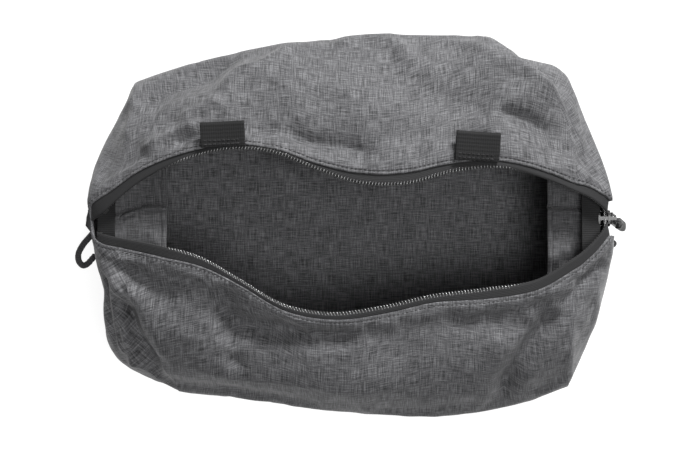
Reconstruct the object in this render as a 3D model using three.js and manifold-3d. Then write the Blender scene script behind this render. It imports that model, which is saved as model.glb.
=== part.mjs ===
// A soft shoe bag standing open: four sewn wall panels on a base panel, a full-length zip whose two
// lips are parted, a slider parked at the right end, cord loops, webbing tabs and inner end pockets.
// Millimetres, +Z up, X along the zip, origin at the middle of the footprint on the ground.
import * as THREE from "three";
import { mergeVertices } from "three/addons/utils/BufferGeometryUtils.js";
import Module from "manifold-3d";

const wasm = await Module();
wasm.setup();

// Driving dimensions
const FABRIC = 2.0; // wall thickness, heavier than the real 0.4 mm cloth so that it is a robust solid
const GAP = 0.5; // clearance left between neighbouring solids
const BASE_THICK = 1.6;
const WALL_FOOT_Z = BASE_THICK + 0.4; // the walls stand just clear of the base panel
const FOOT_SCALE = 0.94; // footprint against the widest outline
const RIM_V = 0.62; // share of a wall's height grid that lies above its widest line
const FULLNESS = 0.82; // below 1 makes the shoulders squarer than an ellipse
const WALL_ROWS = 9;
const TAPE_WIDE = 8.5; // width of each zip tape down the closed stretch
const TAPE_THICK = 1.0;
const COIL_R = 1.1;
const COIL_INSET = 1.3; // from a tape's edge to the middle of its coil
const ZIP_X = 166; // the zip's ends stand at plus and minus this
const ZIP_Y = 4.5; // the closed zip runs down the right end on this line
const ZIP_TURN_Z = 86; // below this the closed zip runs straight down the right end
const TAPE_LOW_Z = 46;
const STOP_Z = [47.4, 50.2]; // bottom stop of the closed zip
const POST_SLOT = 3.4; // the slider's post passes between the two tapes here
const SLIDER_Z = 80; // middle of the slider where it is parked
const SLIDER_HALF_LONG = 6;
const SLIDER_HALF_WIDE = 5.3;
const CORD_R = 2.0;
const PULL_CORD_R = 1.5;
const PULL_LEAN = THREE.MathUtils.degToRad(22); // the pull rests on the bulging end at this lean
const PULL_SKEW = THREE.MathUtils.degToRad(9);
const WEBBING_WIDE = 28;
const WEBBING_THICK = 1.3;
const WEBBING_GAP = 1.1; // slack between the two plies of a tab

const COLOURS = {
  cloth: 0x6b6b70,
  coating: 0x4a4b4f,
  tape: 0x38383a,
  coil: 0x4c4c4e,
  webbing: 0x2b2b2d,
  cord: 0x1c1c1e,
  facing: 0x1f1f21,
  metal: 0x9a9a9c,
  sleeve: 0x3a3a3c,
};

// Each station of a wall is [lip x, y, z, widest x, y, z, tape]: the zip's edge above, the bulge
// below, and how much of the zip tape shows before the cloth covers it.
const CORNERS = {
  frontLeft: [-149, -7.8, 96, -113, -112, 24, 6.7],
  frontRight: [148, -17.8, 97, 146.5, -109, 38, 7.7],
  rearRight: [147, 20.6, 98, 88, 127, 40, 6.4],
  rearLeft: [-151, 14.4, 97, -143, 96, 40, 9.1],
};
const WALLS = {
  front_panel: [
    CORNERS.frontLeft,
    [-120, -13.4, 102, -86, -115, 42, 7.7],
    [-95, -20.5, 104.5, -62, -117.5, 48, 6.4],
    [-70, -34.5, 106, -38, -120, 50, 4.5],
    [-42, -50.5, 107, -14, -122.5, 52, 4.1],
    [-12, -56, 107.5, 12, -125, 52, 4],
    [20, -52, 107, 37, -127, 52, 4.1],
    [52, -44.8, 107, 62, -127, 50, 4],
    [86, -40.6, 106, 90, -124, 46, 6],
    [119, -34.4, 103.5, 119, -118.5, 42, 6.6],
    CORNERS.frontRight,
  ],
  right_end_panel: [
    CORNERS.frontRight,
    [158, -8.5, 94, 163.5, -60, 48, 7.4],
    [165, 1, 91, 172, -15, 54, 6.4],
    [ZIP_X, ZIP_Y, 88, 169.5, ZIP_Y, 55, 8],
    [165, 8.6, 91, 169.5, 24, 54, 9],
    [160, 13.4, 93.5, 151, 80, 45, 8.3],
    [154.5, 17, 95.5, 141.5, 105.5, 40, 7.7],
    [150.5, 19.2, 96.8, 116, 113.8, 40, 6.7],
    CORNERS.rearRight,
  ],
  rear_panel: [
    CORNERS.rearRight,
    [122, 30.3, 103, 79, 127, 43, 5.1],
    [94, 36.8, 106, 68, 127, 46, 3.9],
    [65, 34, 107, 54, 127, 49, 4.7],
    [35, 26.2, 108, 36, 126.5, 51, 6.6],
    [5, 27, 108, 14, 126, 52, 5.6],
    [-22, 36, 107.5, -10, 125, 52, 3.5],
    [-50, 46.6, 107, -38, 121.5, 52, 3.5],
    [-80, 48, 105.5, -68, 116, 50, 3.5],
    [-110, 39.8, 103, -100, 109, 47, 4.5],
    [-135, 27, 100, -127, 101.5, 43, 7.2],
    CORNERS.rearLeft,
  ],
  left_end_panel: [
    CORNERS.rearLeft,
    [-159, 7, 94, -171.5, 28, 52, 9.6],
    [-ZIP_X, 1.5, 88, -170, -3, 50, 8],
    [-162.5, -4, 91, -164.5, -48, 40, 6],
    [-157, -6, 94, -160, -90.5, 22, 6.3],
    CORNERS.frontLeft,
  ],
};

// ---- Wall surfaces ----------------------------------------------------------------------------

const vec = (x, y, z) => new THREE.Vector3(x, y, z);
const curveThrough = (points) => new THREE.CatmullRomCurve3(points, false, "centripetal");
const fractions = (count) => Array.from({ length: count + 1 }, (_, i) => i / count);

// The lip, hem, widest line and foot of a wall, all read at the same share u of its length.
function wallLines(stations) {
  const lip = curveThrough(stations.map(([x, y, z]) => vec(x, y, z)));
  const rim = curveThrough(stations.map(([, , , x, y, z]) => vec(x, y, z)));
  const tape = new THREE.CatmullRomCurve3(stations.map((station, i) => vec(i, station[6], 0)));
  return (u) => {
    const top = lip.getPoint(u);
    const wide = rim.getPoint(u);
    const out = vec(wide.x - top.x, wide.y - top.y, 0);
    const reach = Math.min(tape.getPoint(u).y, 0.6 * out.length());
    out.normalize();
    const hem = top.clone().addScaledVector(out, reach);
    const foot = vec(wide.x * FOOT_SCALE, wide.y * FOOT_SCALE, WALL_FOOT_Z);
    return { top, hem, wide, foot, out, reach };
  };
}

// A wall is read twice per station, stopping just short of the corners that it shares.
function linesAlong(name) {
  const stations = WALLS[name];
  const lines = wallLines(stations);
  const length = curveThrough(stations.map(([, , , x, y, z]) => vec(x, y, z))).getLength();
  const margin = GAP / length;
  return fractions(2 * (stations.length - 1)).map((u) => lines(margin + u * (1 - 2 * margin)));
}

// A point of a wall's outer face: v runs from 0 at the hem, over the bulge, to 1 at the foot.
function skinPoint({ hem, wide, foot }, v) {
  if (v <= RIM_V) {
    const turn = (v / RIM_V) * Math.PI / 2;
    const across = Math.sin(turn) ** FULLNESS;
    const down = 1 - Math.cos(turn) ** FULLNESS;
    return vec(hem.x + (wide.x - hem.x) * across, hem.y + (wide.y - hem.y) * across,
      hem.z + (wide.z - hem.z) * down);
  }
  const turn = ((v - RIM_V) / (1 - RIM_V)) * Math.PI / 2;
  const inward = 1 - Math.cos(turn);
  return vec(wide.x + (foot.x - wide.x) * inward, wide.y + (foot.y - wide.y) * inward,
    wide.z + (foot.z - wide.z) * Math.sin(turn));
}

// Every wall thickens towards the same inner line, so neighbours meet on one mitre.
function inwardAt(point) {
  const { clamp } = THREE.MathUtils;
  return vec(clamp(point.x, -120, 120), clamp(point.y, -25, 25), 48).sub(point).normalize();
}

const deeper = (point, depth) => point.clone().addScaledVector(inwardAt(point), depth);

// ---- Meshes and booleans ----------------------------------------------------------------------

function geometryFrom(points, faces) {
  let volume = 0;
  for (let i = 0; i < faces.length; i += 3) {
    const [a, b, c] = [points[faces[i]], points[faces[i + 1]], points[faces[i + 2]]];
    volume += a.dot(b.clone().cross(c));
  }
  if (volume < 0) faces.reverse();
  const geometry = new THREE.BufferGeometry().setFromPoints(points);
  geometry.setIndex(faces);
  geometry.computeVertexNormals();
  return geometry;
}

// A closed slab between two equal grids of points.
function slabBetween(outer, inner) {
  const rows = outer.length;
  const columns = outer[0].length;
  const at = (side, i, j) => side * rows * columns + i * columns + j;
  const faces = [];
  const quad = (a, b, c, d) => faces.push(a, b, c, a, c, d);
  for (let i = 0; i + 1 < rows; i++) {
    for (let j = 0; j + 1 < columns; j++) {
      quad(at(0, i, j), at(0, i, j + 1), at(0, i + 1, j + 1), at(0, i + 1, j));
      quad(at(1, i, j), at(1, i + 1, j), at(1, i + 1, j + 1), at(1, i, j + 1));
    }
    quad(at(0, i, 0), at(0, i + 1, 0), at(1, i + 1, 0), at(1, i, 0));
    quad(at(0, i, columns - 1), at(1, i, columns - 1), at(1, i + 1, columns - 1), at(0, i + 1, columns - 1));
  }
  for (let j = 0; j + 1 < columns; j++) {
    quad(at(0, 0, j), at(1, 0, j), at(1, 0, j + 1), at(0, 0, j + 1));
    quad(at(0, rows - 1, j), at(0, rows - 1, j + 1), at(1, rows - 1, j + 1), at(1, rows - 1, j));
  }
  return geometryFrom([...outer.flat(), ...inner.flat()], faces);
}

function solidOf(geometry) {
  const bare = geometry.clone();
  bare.deleteAttribute("normal");
  bare.deleteAttribute("uv");
  const merged = mergeVertices(bare, 1e-4);
  const vertProperties = merged.attributes.position.array;
  const triVerts = new Uint32Array(merged.index.array);
  return new wasm.Manifold(new wasm.Mesh({ numProp: 3, vertProperties, triVerts }));
}

function geometryOf(solid) {
  const mesh = solid.getMesh();
  const geometry = new THREE.BufferGeometry();
  geometry.setAttribute("position", new THREE.BufferAttribute(new Float32Array(mesh.vertProperties), 3));
  geometry.setIndex(new THREE.BufferAttribute(new Uint32Array(mesh.triVerts), 1));
  geometry.computeVertexNormals();
  return geometry;
}

function boxBetween([x0, y0, z0], [x1, y1, z1]) {
  const box = new THREE.BoxGeometry(x1 - x0, y1 - y0, z1 - z0);
  return box.translate((x0 + x1) / 2, (y0 + y1) / 2, (z0 + z1) / 2);
}

const boxSolid = (low, high) => solidOf(boxBetween(low, high));

function roundSection(radius, sides) {
  const angles = fractions(sides).slice(0, -1).map((share) => share * 2 * Math.PI);
  return new THREE.Shape(angles.map((a) => new THREE.Vector2(radius * Math.cos(a), radius * Math.sin(a))));
}

const tubeAlong = (curve, radius, sides, steps) =>
  new THREE.ExtrudeGeometry(roundSection(radius, sides), { steps, extrudePath: curve, bevelEnabled: false });

// ---- Soft shell -------------------------------------------------------------------------------

function wallPanel(name) {
  const outer = linesAlong(name).map((line) => fractions(WALL_ROWS).map((v) => skinPoint(line, v)));
  return slabBetween(outer, outer.map((row) => row.map((point) => deeper(point, FABRIC))));
}

// The right end panel is open where the closed zip runs down it.
function rightEndPanel() {
  const half = TAPE_WIDE + POST_SLOT / 2 + 2.5;
  const slot = boxSolid([ZIP_X - 14, ZIP_Y - half, TAPE_LOW_Z - GAP], [ZIP_X + 20, ZIP_Y + half, 130]);
  return geometryOf(solidOf(wallPanel("right_end_panel")).subtract(slot));
}

const perimeter = Object.keys(WALLS).flatMap((name) => linesAlong(name).slice(0, -1));

function basePanel() {
  const outline = new THREE.Shape(perimeter.map(({ foot }) => new THREE.Vector2(foot.x, foot.y)));
  return new THREE.ExtrudeGeometry(outline, { depth: BASE_THICK, bevelEnabled: false });
}

// The space inside the walls, from just above the base panel up to the hems.
function interiorSolid(clearance) {
  const depth = FABRIC + clearance;
  const rings = fractions(WALL_ROWS).map((v) => perimeter.map((line) => deeper(skinPoint(line, v), depth)));
  const count = perimeter.length;
  const points = [...rings.flat(), vec(0, -8, 104), vec(0, 0, WALL_FOOT_Z)];
  const [roof, floor] = [points.length - 2, points.length - 1];
  const lastRing = (rings.length - 1) * count;
  const faces = [];
  for (let i = 0; i < count; i++) {
    const next = (i + 1) % count;
    for (let ring = 0; ring < lastRing; ring += count) {
      faces.push(ring + i, ring + count + i, ring + count + next);
      faces.push(ring + i, ring + count + next, ring + next);
    }
    faces.push(roof, i, next);
    faces.push(floor, lastRing + next, lastRing + i);
  }
  return solidOf(geometryFrom(points, faces));
}

// ---- Zip --------------------------------------------------------------------------------------

const lipRuns = {
  front: [...linesAlong("left_end_panel").slice(6), ...linesAlong("front_panel"),
    ...linesAlong("right_end_panel").slice(0, 5)],
  rear: [...linesAlong("left_end_panel").slice(0, 3).reverse(), ...linesAlong("rear_panel").reverse(),
    ...linesAlong("right_end_panel").slice(8).reverse()],
};

// A tape follows its lip, then turns down the right end beside the closed teeth. Each section holds
// the tape's coil edge, its sewn edge and the direction of its underside.
function zipSections(side) {
  const sections = lipRuns[side].map(({ top, out, reach }) => {
    const sewn = top.clone().addScaledVector(out, reach - GAP);
    return { edge: top, sewn, out, under: inwardAt(sewn) };
  });
  const out = vec(0, side === "front" ? -1 : 1, 0);
  for (const z of [ZIP_TURN_Z, ZIP_TURN_Z - 5, ZIP_TURN_Z - 10, TAPE_LOW_Z]) {
    const edge = vec(ZIP_X, ZIP_Y, z).addScaledVector(out, POST_SLOT / 2);
    const sewn = edge.clone().addScaledVector(out, TAPE_WIDE - GAP);
    sections.push({ edge, sewn, out, under: vec(-1, 0, 0) });
  }
  return sections;
}

function zipTape(side) {
  const sections = zipSections(side);
  const outer = sections.map(({ edge, sewn }) => [edge, sewn]);
  const inner = sections.map(({ edge, sewn, under }) =>
    [edge, sewn].map((point) => point.clone().addScaledVector(under, TAPE_THICK)));
  return slabBetween(outer, inner);
}

// The coil is sewn to the underside of the tape, along its edge.
const COIL_DEPTH = TAPE_THICK + COIL_R + 0.7;
const coilPoint = ({ edge, out, under }) =>
  edge.clone().addScaledVector(out, COIL_INSET).addScaledVector(under, COIL_DEPTH);

function zipCoil(side) {
  const points = zipSections(side).slice(1).map(coilPoint);
  points.at(-1).z = STOP_Z[1] + GAP;
  return tubeAlong(curveThrough(points), COIL_R, 6, 2 * points.length);
}

// A crimp on the coil's open end keeps the slider on.
function topStop(side) {
  const [start, next] = zipSections(side).slice(0, 2).map(coilPoint);
  const end = start.clone().lerp(next, 0.75);
  return tubeAlong(new THREE.LineCurve3(start, end), COIL_R + 0.3, 6, 1);
}

const COIL_X = ZIP_X - COIL_DEPTH; // middle of the coils down the right end
const bottomStop = () => boxBetween([COIL_X - 1.5, -4.4, STOP_Z[0]], [COIL_X + 1.2, 4.4, STOP_Z[1]]);

// The joined teeth below the slider, which are swallowed as the slider travels down.
const closedTeeth = () => boxBetween([COIL_X - 0.9, -1.3, STOP_Z[1] + GAP],
  [COIL_X + 0.9, 1.3, SLIDER_Z - SLIDER_HALF_LONG - GAP]);

// ---- Slider and its pull ----------------------------------------------------------------------

const TOP_PLATE = [ZIP_X + 0.6, ZIP_X + 2.0];
const LOW_PLATE = [COIL_X - COIL_R - 1.8, COIL_X - COIL_R - 0.6];
const EYE_X = TOP_PLATE[1] + 1.6; // where the pull hangs from the slider's bridge

// Slider plate in the plane of the zip: wide shoulders above, narrow tail below.
function sliderPlate([x0, x1]) {
  const [half, tail] = [SLIDER_HALF_WIDE, SLIDER_HALF_WIDE - 1];
  const shape = new THREE.Shape();
  shape.moveTo(-tail, -SLIDER_HALF_LONG);
  shape.lineTo(tail, -SLIDER_HALF_LONG);
  shape.lineTo(half, 1);
  shape.quadraticCurveTo(half, SLIDER_HALF_LONG, half - 3.4, SLIDER_HALF_LONG);
  shape.lineTo(3.4 - half, SLIDER_HALF_LONG);
  shape.quadraticCurveTo(-half, SLIDER_HALF_LONG, -half, 1);
  const plate = new THREE.ExtrudeGeometry(shape, { depth: x1 - x0, bevelEnabled: false, curveSegments: 4 });
  plate.applyMatrix4(new THREE.Matrix4().makeBasis(vec(0, 1, 0), vec(0, 0, 1), vec(1, 0, 0)));
  return solidOf(plate.translate(x0, 0, SLIDER_Z));
}

function zipSlider() {
  const postInner = LOW_PLATE[1] - 0.5;
  const post = boxSolid([postInner, -1.2, SLIDER_Z + 2.6], [TOP_PLATE[0] + 0.5, 1.2, SLIDER_Z + 5.4]);
  const bridge = boxSolid([TOP_PLATE[1] - 0.5, -1.1, SLIDER_Z - 4.2], [EYE_X + 2.6, 1.1, SLIDER_Z + 4.2]);
  const eye = boxSolid([EYE_X - 1.4, -3, SLIDER_Z - 2.6], [EYE_X + 1.4, 3, SLIDER_Z + 2.6]);
  let body = sliderPlate(TOP_PLATE).add(sliderPlate(LOW_PLATE)).add(post).add(bridge.subtract(eye));
  for (const side of [-1, 1]) {
    const flange = boxSolid([postInner, -0.25, SLIDER_Z - 2], [COIL_X + COIL_R, 0.25, SLIDER_Z + 1]);
    body = body.add(flange.translate(0, side * (SLIDER_HALF_WIDE - 0.6), 0));
  }
  return geometryOf(body);
}

// The pull is drawn hanging straight down from the eye, and its group gives it its lean.
const LINK = { half: 3.2, long: 9.6, wire: 0.75 };
const SLEEVE = { top: -18, long: 16, halfDeep: 3.7, halfWide: 2.6 };

function wireLink() {
  const { half, long, wire } = LINK;
  const corners = [[-half, 0], [half, 0], [half, -long], [-half, -long]].map(([y, z]) => vec(0, y, z));
  let link = null;
  corners.forEach((corner, i) => {
    const along = corners[(i + 1) % 4].clone().sub(corner).setLength(wire * 0.9);
    const path = new THREE.LineCurve3(corner.clone().sub(along), corners[(i + 1) % 4].clone().add(along));
    const rod = solidOf(tubeAlong(path, wire, 8, 1));
    link = link ? link.add(rod) : rod;
  });
  return geometryOf(link);
}

function pullCord() {
  const bend = PULL_CORD_R + LINK.wire + 0.5;
  const corner = [bend * 0.72, -LINK.long + bend * 0.72];
  const half = (side) => [[1.9, SLEEVE.top + 0.3], [bend, -LINK.long - 1], corner]
    .map(([x, z]) => vec(side * x, 0, z));
  const path = [...half(-1), vec(0, 0, bend - LINK.long), ...half(1).reverse()];
  return tubeAlong(curveThrough(path), PULL_CORD_R, 8, 14);
}

// A moulded sleeve grips both ends of the cord loop.
function pullSleeve() {
  const { top, long, halfDeep, halfWide } = SLEEVE;
  const corner = 1.8;
  const outline = new THREE.Path();
  outline.moveTo(0, top - long);
  outline.lineTo(halfDeep - corner, top - long);
  outline.absarc(halfDeep - corner, top - long + corner, corner, -Math.PI / 2, 0, false);
  outline.absarc(halfDeep - corner, top - corner, corner, 0, Math.PI / 2, false);
  outline.lineTo(0, top);
  const sleeve = new THREE.LatheGeometry(outline.getPoints(4), 14);
  sleeve.rotateX(Math.PI / 2);
  return geometryFromLathe(sleeve).scale(1, halfWide / halfDeep, 1);
}

// A lathe turned about Z instead of Y, with its seam closed.
function geometryFromLathe(lathe) {
  return geometryOf(solidOf(lathe));
}

// ---- Cord loops on the ends -------------------------------------------------------------------

// Each loop is a short length of cord, sewn by both ends into an end wall.
const LEFT_LOOP = [[-170.4, -8.6, 76], [-173.6, -12.3, 75.6], [-177, -18.6, 74.4], [-176.8, -23.6, 73],
  [-174.2, -26.2, 72], [-171.4, -25, 71.4], [-169.6, -23, 71]];
const RIGHT_LOOP = [[173.9, -11.4, 46.4], [176, -11.6, 45.6], [177, -12.2, 42.4], [176.8, -13, 38],
  [175.8, -13.6, 35.4], [173.6, -13.9, 34.6]];

const cordLoop = (points) => tubeAlong(curveThrough(points.map(([x, y, z]) => vec(x, y, z))), CORD_R, 8, 16);

// ---- Tabs, pockets and trims ------------------------------------------------------------------

// Webbing doubled into a flat loop: its section lies in x, y and is extruded across the tab.
function tabLoop(long) {
  const tall = 2 * WEBBING_THICK + WEBBING_GAP;
  const section = (inset, path) => {
    const radius = tall / 2 - inset;
    path.moveTo(inset, inset);
    path.lineTo(long - tall / 2, inset);
    path.absarc(long - tall / 2, tall / 2, radius, -Math.PI / 2, Math.PI / 2, false);
    path.lineTo(inset, tall - inset);
    path.closePath();
    return path;
  };
  const shape = section(0, new THREE.Shape());
  shape.holes.push(section(WEBBING_THICK, new THREE.Path()));
  const options = { depth: WEBBING_WIDE, bevelEnabled: false, curveSegments: 6 };
  const loop = new THREE.ExtrudeGeometry(shape, options);
  return loop.applyMatrix4(new THREE.Matrix4().makeBasis(vec(0, 1, 0), vec(0, 0, 1), vec(1, 0, 0)))
    .translate(-WEBBING_WIDE / 2, 0, 0);
}

const interior = interiorSolid(GAP);

// A sheet that fills the bag from wall to wall between two stations of x, tilted about Y.
function innerSheet({ x0, x1, z0, z1, y0 = -150, y1 = 150, thick }) {
  const section = new THREE.Shape([[x0, z0], [x1, z1], [x1, z1 + thick], [x0, z0 + thick]]
    .map(([x, z]) => new THREE.Vector2(x, z)));
  const slab = new THREE.ExtrudeGeometry(section, { depth: y1 - y0, bevelEnabled: false });
  slab.rotateX(Math.PI / 2);
  return geometryOf(solidOf(slab.translate(0, y1, 0)).intersect(interior));
}

// The bound seam allowance inside the bag, between a wall and the base.
function seamBinding(name) {
  const lines = linesAlong(name).slice(1, -1);
  const section = (depth) => lines.map(({ foot }) => [0.6, 7.5].map((rise) => {
    const inward = vec(foot.x, foot.y, 0).normalize().multiplyScalar(-depth);
    return foot.clone().add(inward).add(vec(0, 0, rise));
  }));
  return slabBetween(section(FABRIC + 3.2), section(FABRIC + 4.4));
}

// ---- Assembly ---------------------------------------------------------------------------------

const bag = new THREE.Group();

function add(name, geometry, colour, { roughness = 0.85, metalness = 0, parent = bag } = {}) {
  const material = new THREE.MeshStandardMaterial({ color: colour, roughness, metalness });
  const mesh = new THREE.Mesh(geometry, material);
  mesh.name = name;
  parent.add(mesh);
  return mesh;
}

function groupAt(x, y, z, parent = bag) {
  const group = new THREE.Group();
  group.position.set(x, y, z);
  parent.add(group);
  return group;
}

add("base_panel", basePanel(), COLOURS.cloth);
add("front_panel", wallPanel("front_panel"), COLOURS.cloth);
add("rear_panel", wallPanel("rear_panel"), COLOURS.cloth);
add("left_end_panel", wallPanel("left_end_panel"), COLOURS.cloth);
add("right_end_panel", rightEndPanel(), COLOURS.cloth);

for (const side of ["front", "rear"]) {
  add(`${side}_zip_tape`, zipTape(side), COLOURS.tape);
  add(`${side}_zip_coil`, zipCoil(side), COLOURS.coil, { roughness: 0.5 });
  add(`${side}_top_stop`, topStop(side), COLOURS.metal, { roughness: 0.4, metalness: 0.8 });
}
const closedZip = groupAt(0, ZIP_Y, 0);
add("closed_zip_teeth", closedTeeth(), COLOURS.coil, { roughness: 0.5, parent: closedZip });
add("zip_bottom_stop", bottomStop(), COLOURS.metal, { roughness: 0.4, metalness: 0.8, parent: closedZip });
add("zip_slider", zipSlider(), COLOURS.metal, { roughness: 0.35, metalness: 0.9, parent: closedZip });

const pull = groupAt(EYE_X, 0, SLIDER_Z, closedZip);
pull.rotation.set(-PULL_SKEW, -PULL_LEAN, 0, "YXZ");
add("pull_link", wireLink(), COLOURS.metal, { roughness: 0.35, metalness: 0.9, parent: pull });
add("pull_cord", pullCord(), COLOURS.cord, { parent: pull });
add("pull_sleeve", pullSleeve(), COLOURS.sleeve, { roughness: 0.6, parent: pull });

add("left_end_loop", cordLoop(LEFT_LOOP), COLOURS.cord);
add("right_end_loop", cordLoop(RIGHT_LOOP), COLOURS.cord);

// Each tab lies on the rear panel, hinged where it is sewn beside the zip.
const leftTab = groupAt(-80, 49.5, 106.9);
leftTab.rotation.set(THREE.MathUtils.degToRad(-1.5), 0, THREE.MathUtils.degToRad(3), "ZXY");
add("rear_left_tab", tabLoop(16), COLOURS.webbing, { parent: leftTab });
const rightTab = groupAt(80, 40.5, 107.4);
rightTab.rotation.set(THREE.MathUtils.degToRad(-1.5), 0, THREE.MathUtils.degToRad(-4), "ZXY");
add("rear_right_tab", tabLoop(18.5), COLOURS.webbing, { parent: rightTab });

add("left_pocket", innerSheet({ x0: -152, x1: -123, z0: 83, z1: 77, thick: 1 }), COLOURS.coating);
add("left_pocket_hem", innerSheet({ x0: -122.5, x1: -119, z0: 76, z1: 75.4, thick: 2 }), COLOURS.coating);
add("right_pocket", innerSheet({ x0: 132, x1: 155, z0: 77, z1: 82, thick: 1 }), COLOURS.coating);
add("right_pocket_hem", innerSheet({ x0: 128, x1: 131.5, z0: 75.4, z1: 76, thick: 2 }), COLOURS.coating);
add("left_end_facing", innerSheet({
  x0: -164, x1: -152.5, z0: 83.5, z1: 84.5, y0: -5, y1: 15, thick: 0.9,
}), COLOURS.facing);
add("right_end_facing", innerSheet({
  x0: 150, x1: 159, z0: 85.5, z1: 84.5, y0: -4, y1: 16, thick: 0.9,
}), COLOURS.facing);

for (const name of Object.keys(WALLS)) {
  add(name.replace("_panel", "_base_binding"), seamBinding(name), COLOURS.facing);
}

export default bag;
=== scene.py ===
"""A soft shoe bag standing open, seen from straight above: creased heather cloth walls sewn to a base,
a parted coil zip with its slider at the right end, cord loops, webbing tabs and inner end pockets."""

import math

import bmesh
import bpy
import numpy as np
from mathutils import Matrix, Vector
from mathutils.bvhtree import BVHTree


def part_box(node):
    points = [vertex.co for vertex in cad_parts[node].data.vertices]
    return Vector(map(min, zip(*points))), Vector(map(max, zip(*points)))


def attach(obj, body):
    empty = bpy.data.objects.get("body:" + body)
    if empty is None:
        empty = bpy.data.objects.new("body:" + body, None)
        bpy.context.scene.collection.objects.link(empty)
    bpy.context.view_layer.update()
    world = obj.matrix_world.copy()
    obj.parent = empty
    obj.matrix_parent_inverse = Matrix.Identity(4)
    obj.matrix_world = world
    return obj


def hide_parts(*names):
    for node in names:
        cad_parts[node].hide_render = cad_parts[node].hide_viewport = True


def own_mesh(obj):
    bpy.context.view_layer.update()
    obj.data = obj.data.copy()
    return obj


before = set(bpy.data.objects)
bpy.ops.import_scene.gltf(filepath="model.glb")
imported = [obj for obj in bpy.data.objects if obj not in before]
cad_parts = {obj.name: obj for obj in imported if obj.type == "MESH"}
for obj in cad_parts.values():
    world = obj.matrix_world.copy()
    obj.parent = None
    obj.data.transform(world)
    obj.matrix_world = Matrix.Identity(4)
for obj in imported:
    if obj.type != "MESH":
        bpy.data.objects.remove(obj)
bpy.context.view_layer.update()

MM = 0.001
rng = np.random.default_rng(11)

# ---- Driving dimensions, in millimetres as in the CAD, turned to metres when a mesh is made -------

FOOT_SCALE = 0.94  # footprint against the widest outline
FOOT_Z = 0.7  # the walls are sewn to the base this high
FULLNESS = 0.82  # below 1, the walls' shoulders are fuller than an ellipse
HEM_LIFT = 0.7  # the folded hem lies on top of the zip tape
CLOTH = 0.7  # thickness
GRID = 4.3  # spacing of the simulated grid
SHELL_ROWS = 42
FINE = 1.6  # spacing of the finished cloth
FINER = 3  # finished columns to each simulated one
ZIP_X = 166
ZIP_Y = 4.5
POST_HALF = 1.7  # half the gap between the tapes down the closed stretch
TAPE_LOW_Z = 46
TAPE_WIDE = 8.5
COIL_X = 163.2
TEETH_PITCH = 2.0
SLIDER_Z = 80
SLOT_Y = (ZIP_Y - 11.2, ZIP_Y + 11.2)  # the right end panel is open here for the closed zip
SLOT_LOW_Z = 47
# How far the finished cloth's first rows lie below the hem's edge, and which one the topstitching follows.
HEM_SPACING = np.array([0.95, 1.4, 1.9, 2.4, 2.9, 3.5, 4.3, 5.5, 7, 8.8])
STITCH_ROW = 3
FOLD_GAIN = 1.6  # how much deeper the folds start than they end up, after the cloth has settled
PRESS_GAIN = 2.2
DEEPEST_FOLD = 8
SETTLED_MOST = 6.5  # no point of the cloth moves further than this as it settles
SEAM_ROW = 16  # the row of the shell along which distances from the corner seams are measured

CAMERA_PLACE = (0, -0.0053, 1.150)
CAMERA_LENS = 84.86
KEY_LIGHT = ((0.85, 1.85, 1.3), 0.6, 107)  # place in metres, size and power
TOP_LIGHT = ((0.4, -0.3, 2.2), 0.8, 30)

# Each station of a wall is [zip edge x, y, z, widest x, y, z, width of tape that shows].
FRONT_LEFT = [-149, -7.8, 96, -113, -112, 24, 6.7]
FRONT_RIGHT = [148, -17.8, 97, 146.5, -109, 38, 7.7]
REAR_RIGHT = [147, 20.6, 98, 88, 127, 40, 6.4]
REAR_LEFT = [-151, 14.4, 97, -143, 96, 40, 9.1]
WALLS = {
    "front_panel": [
        FRONT_LEFT,
        [-120, -13.4, 102, -86, -115, 42, 7.7],
        [-95, -20.5, 104.5, -62, -117.5, 48, 6.4],
        [-70, -34.5, 106, -38, -120, 50, 4.5],
        [-42, -50.5, 107, -14, -122.5, 52, 4.1],
        [-12, -56, 107.5, 12, -125, 52, 4],
        [20, -52, 107, 37, -127, 52, 4.1],
        [52, -44.8, 107, 62, -127, 50, 4],
        [86, -40.6, 106, 90, -124, 46, 6],
        [119, -34.4, 103.5, 119, -118.5, 42, 6.6],
        FRONT_RIGHT,
    ],
    "right_end_panel": [
        FRONT_RIGHT,
        [158, -8.5, 94, 163.5, -60, 48, 7.4],
        [165, 1, 91, 172, -15, 54, 6.4],
        [ZIP_X, ZIP_Y, 88, 169.5, ZIP_Y, 55, 8],
        [165, 8.6, 91, 169.5, 24, 54, 9],
        [160, 13.4, 93.5, 151, 80, 45, 8.3],
        [154.5, 17, 95.5, 141.5, 105.5, 40, 7.7],
        [150.5, 19.2, 96.8, 116, 113.8, 40, 6.7],
        REAR_RIGHT,
    ],
    "rear_panel": [
        REAR_RIGHT,
        [122, 30.3, 103, 79, 127, 43, 5.1],
        [94, 36.8, 106, 68, 127, 46, 3.9],
        [65, 34, 107, 54, 127, 49, 4.7],
        [35, 26.2, 108, 36, 126.5, 51, 6.6],
        [5, 27, 108, 14, 126, 52, 5.6],
        [-22, 36, 107.5, -10, 125, 52, 2.6],
        [-50, 46.6, 107, -38, 121.5, 52, 1.8],
        [-80, 48, 105.5, -68, 116, 50, 2.3],
        [-110, 39.8, 103, -100, 109, 47, 4.5],
        [-135, 27, 100, -127, 101.5, 43, 7.2],
        REAR_LEFT,
    ],
    "left_end_panel": [
        REAR_LEFT,
        [-159, 7, 94, -171.5, 28, 52, 9.6],
        [-ZIP_X, 1.5, 88, -170, -3, 50, 8],
        [-162.5, -4, 91, -164.5, -48, 40, 6],
        [-157, -6, 94, -160, -90.5, 22, 6.3],
        FRONT_LEFT,
    ],
}
# How far each corner seam bows aside between its zip edge and its widest point, in x and y.
SEAM_BOWS = {
    "front_panel": (-8, 0),
    "right_end_panel": (0, 0),
    "rear_panel": (18, 2),
    "left_end_panel": (0, 0),
}
BOW_REACH = 60
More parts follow.
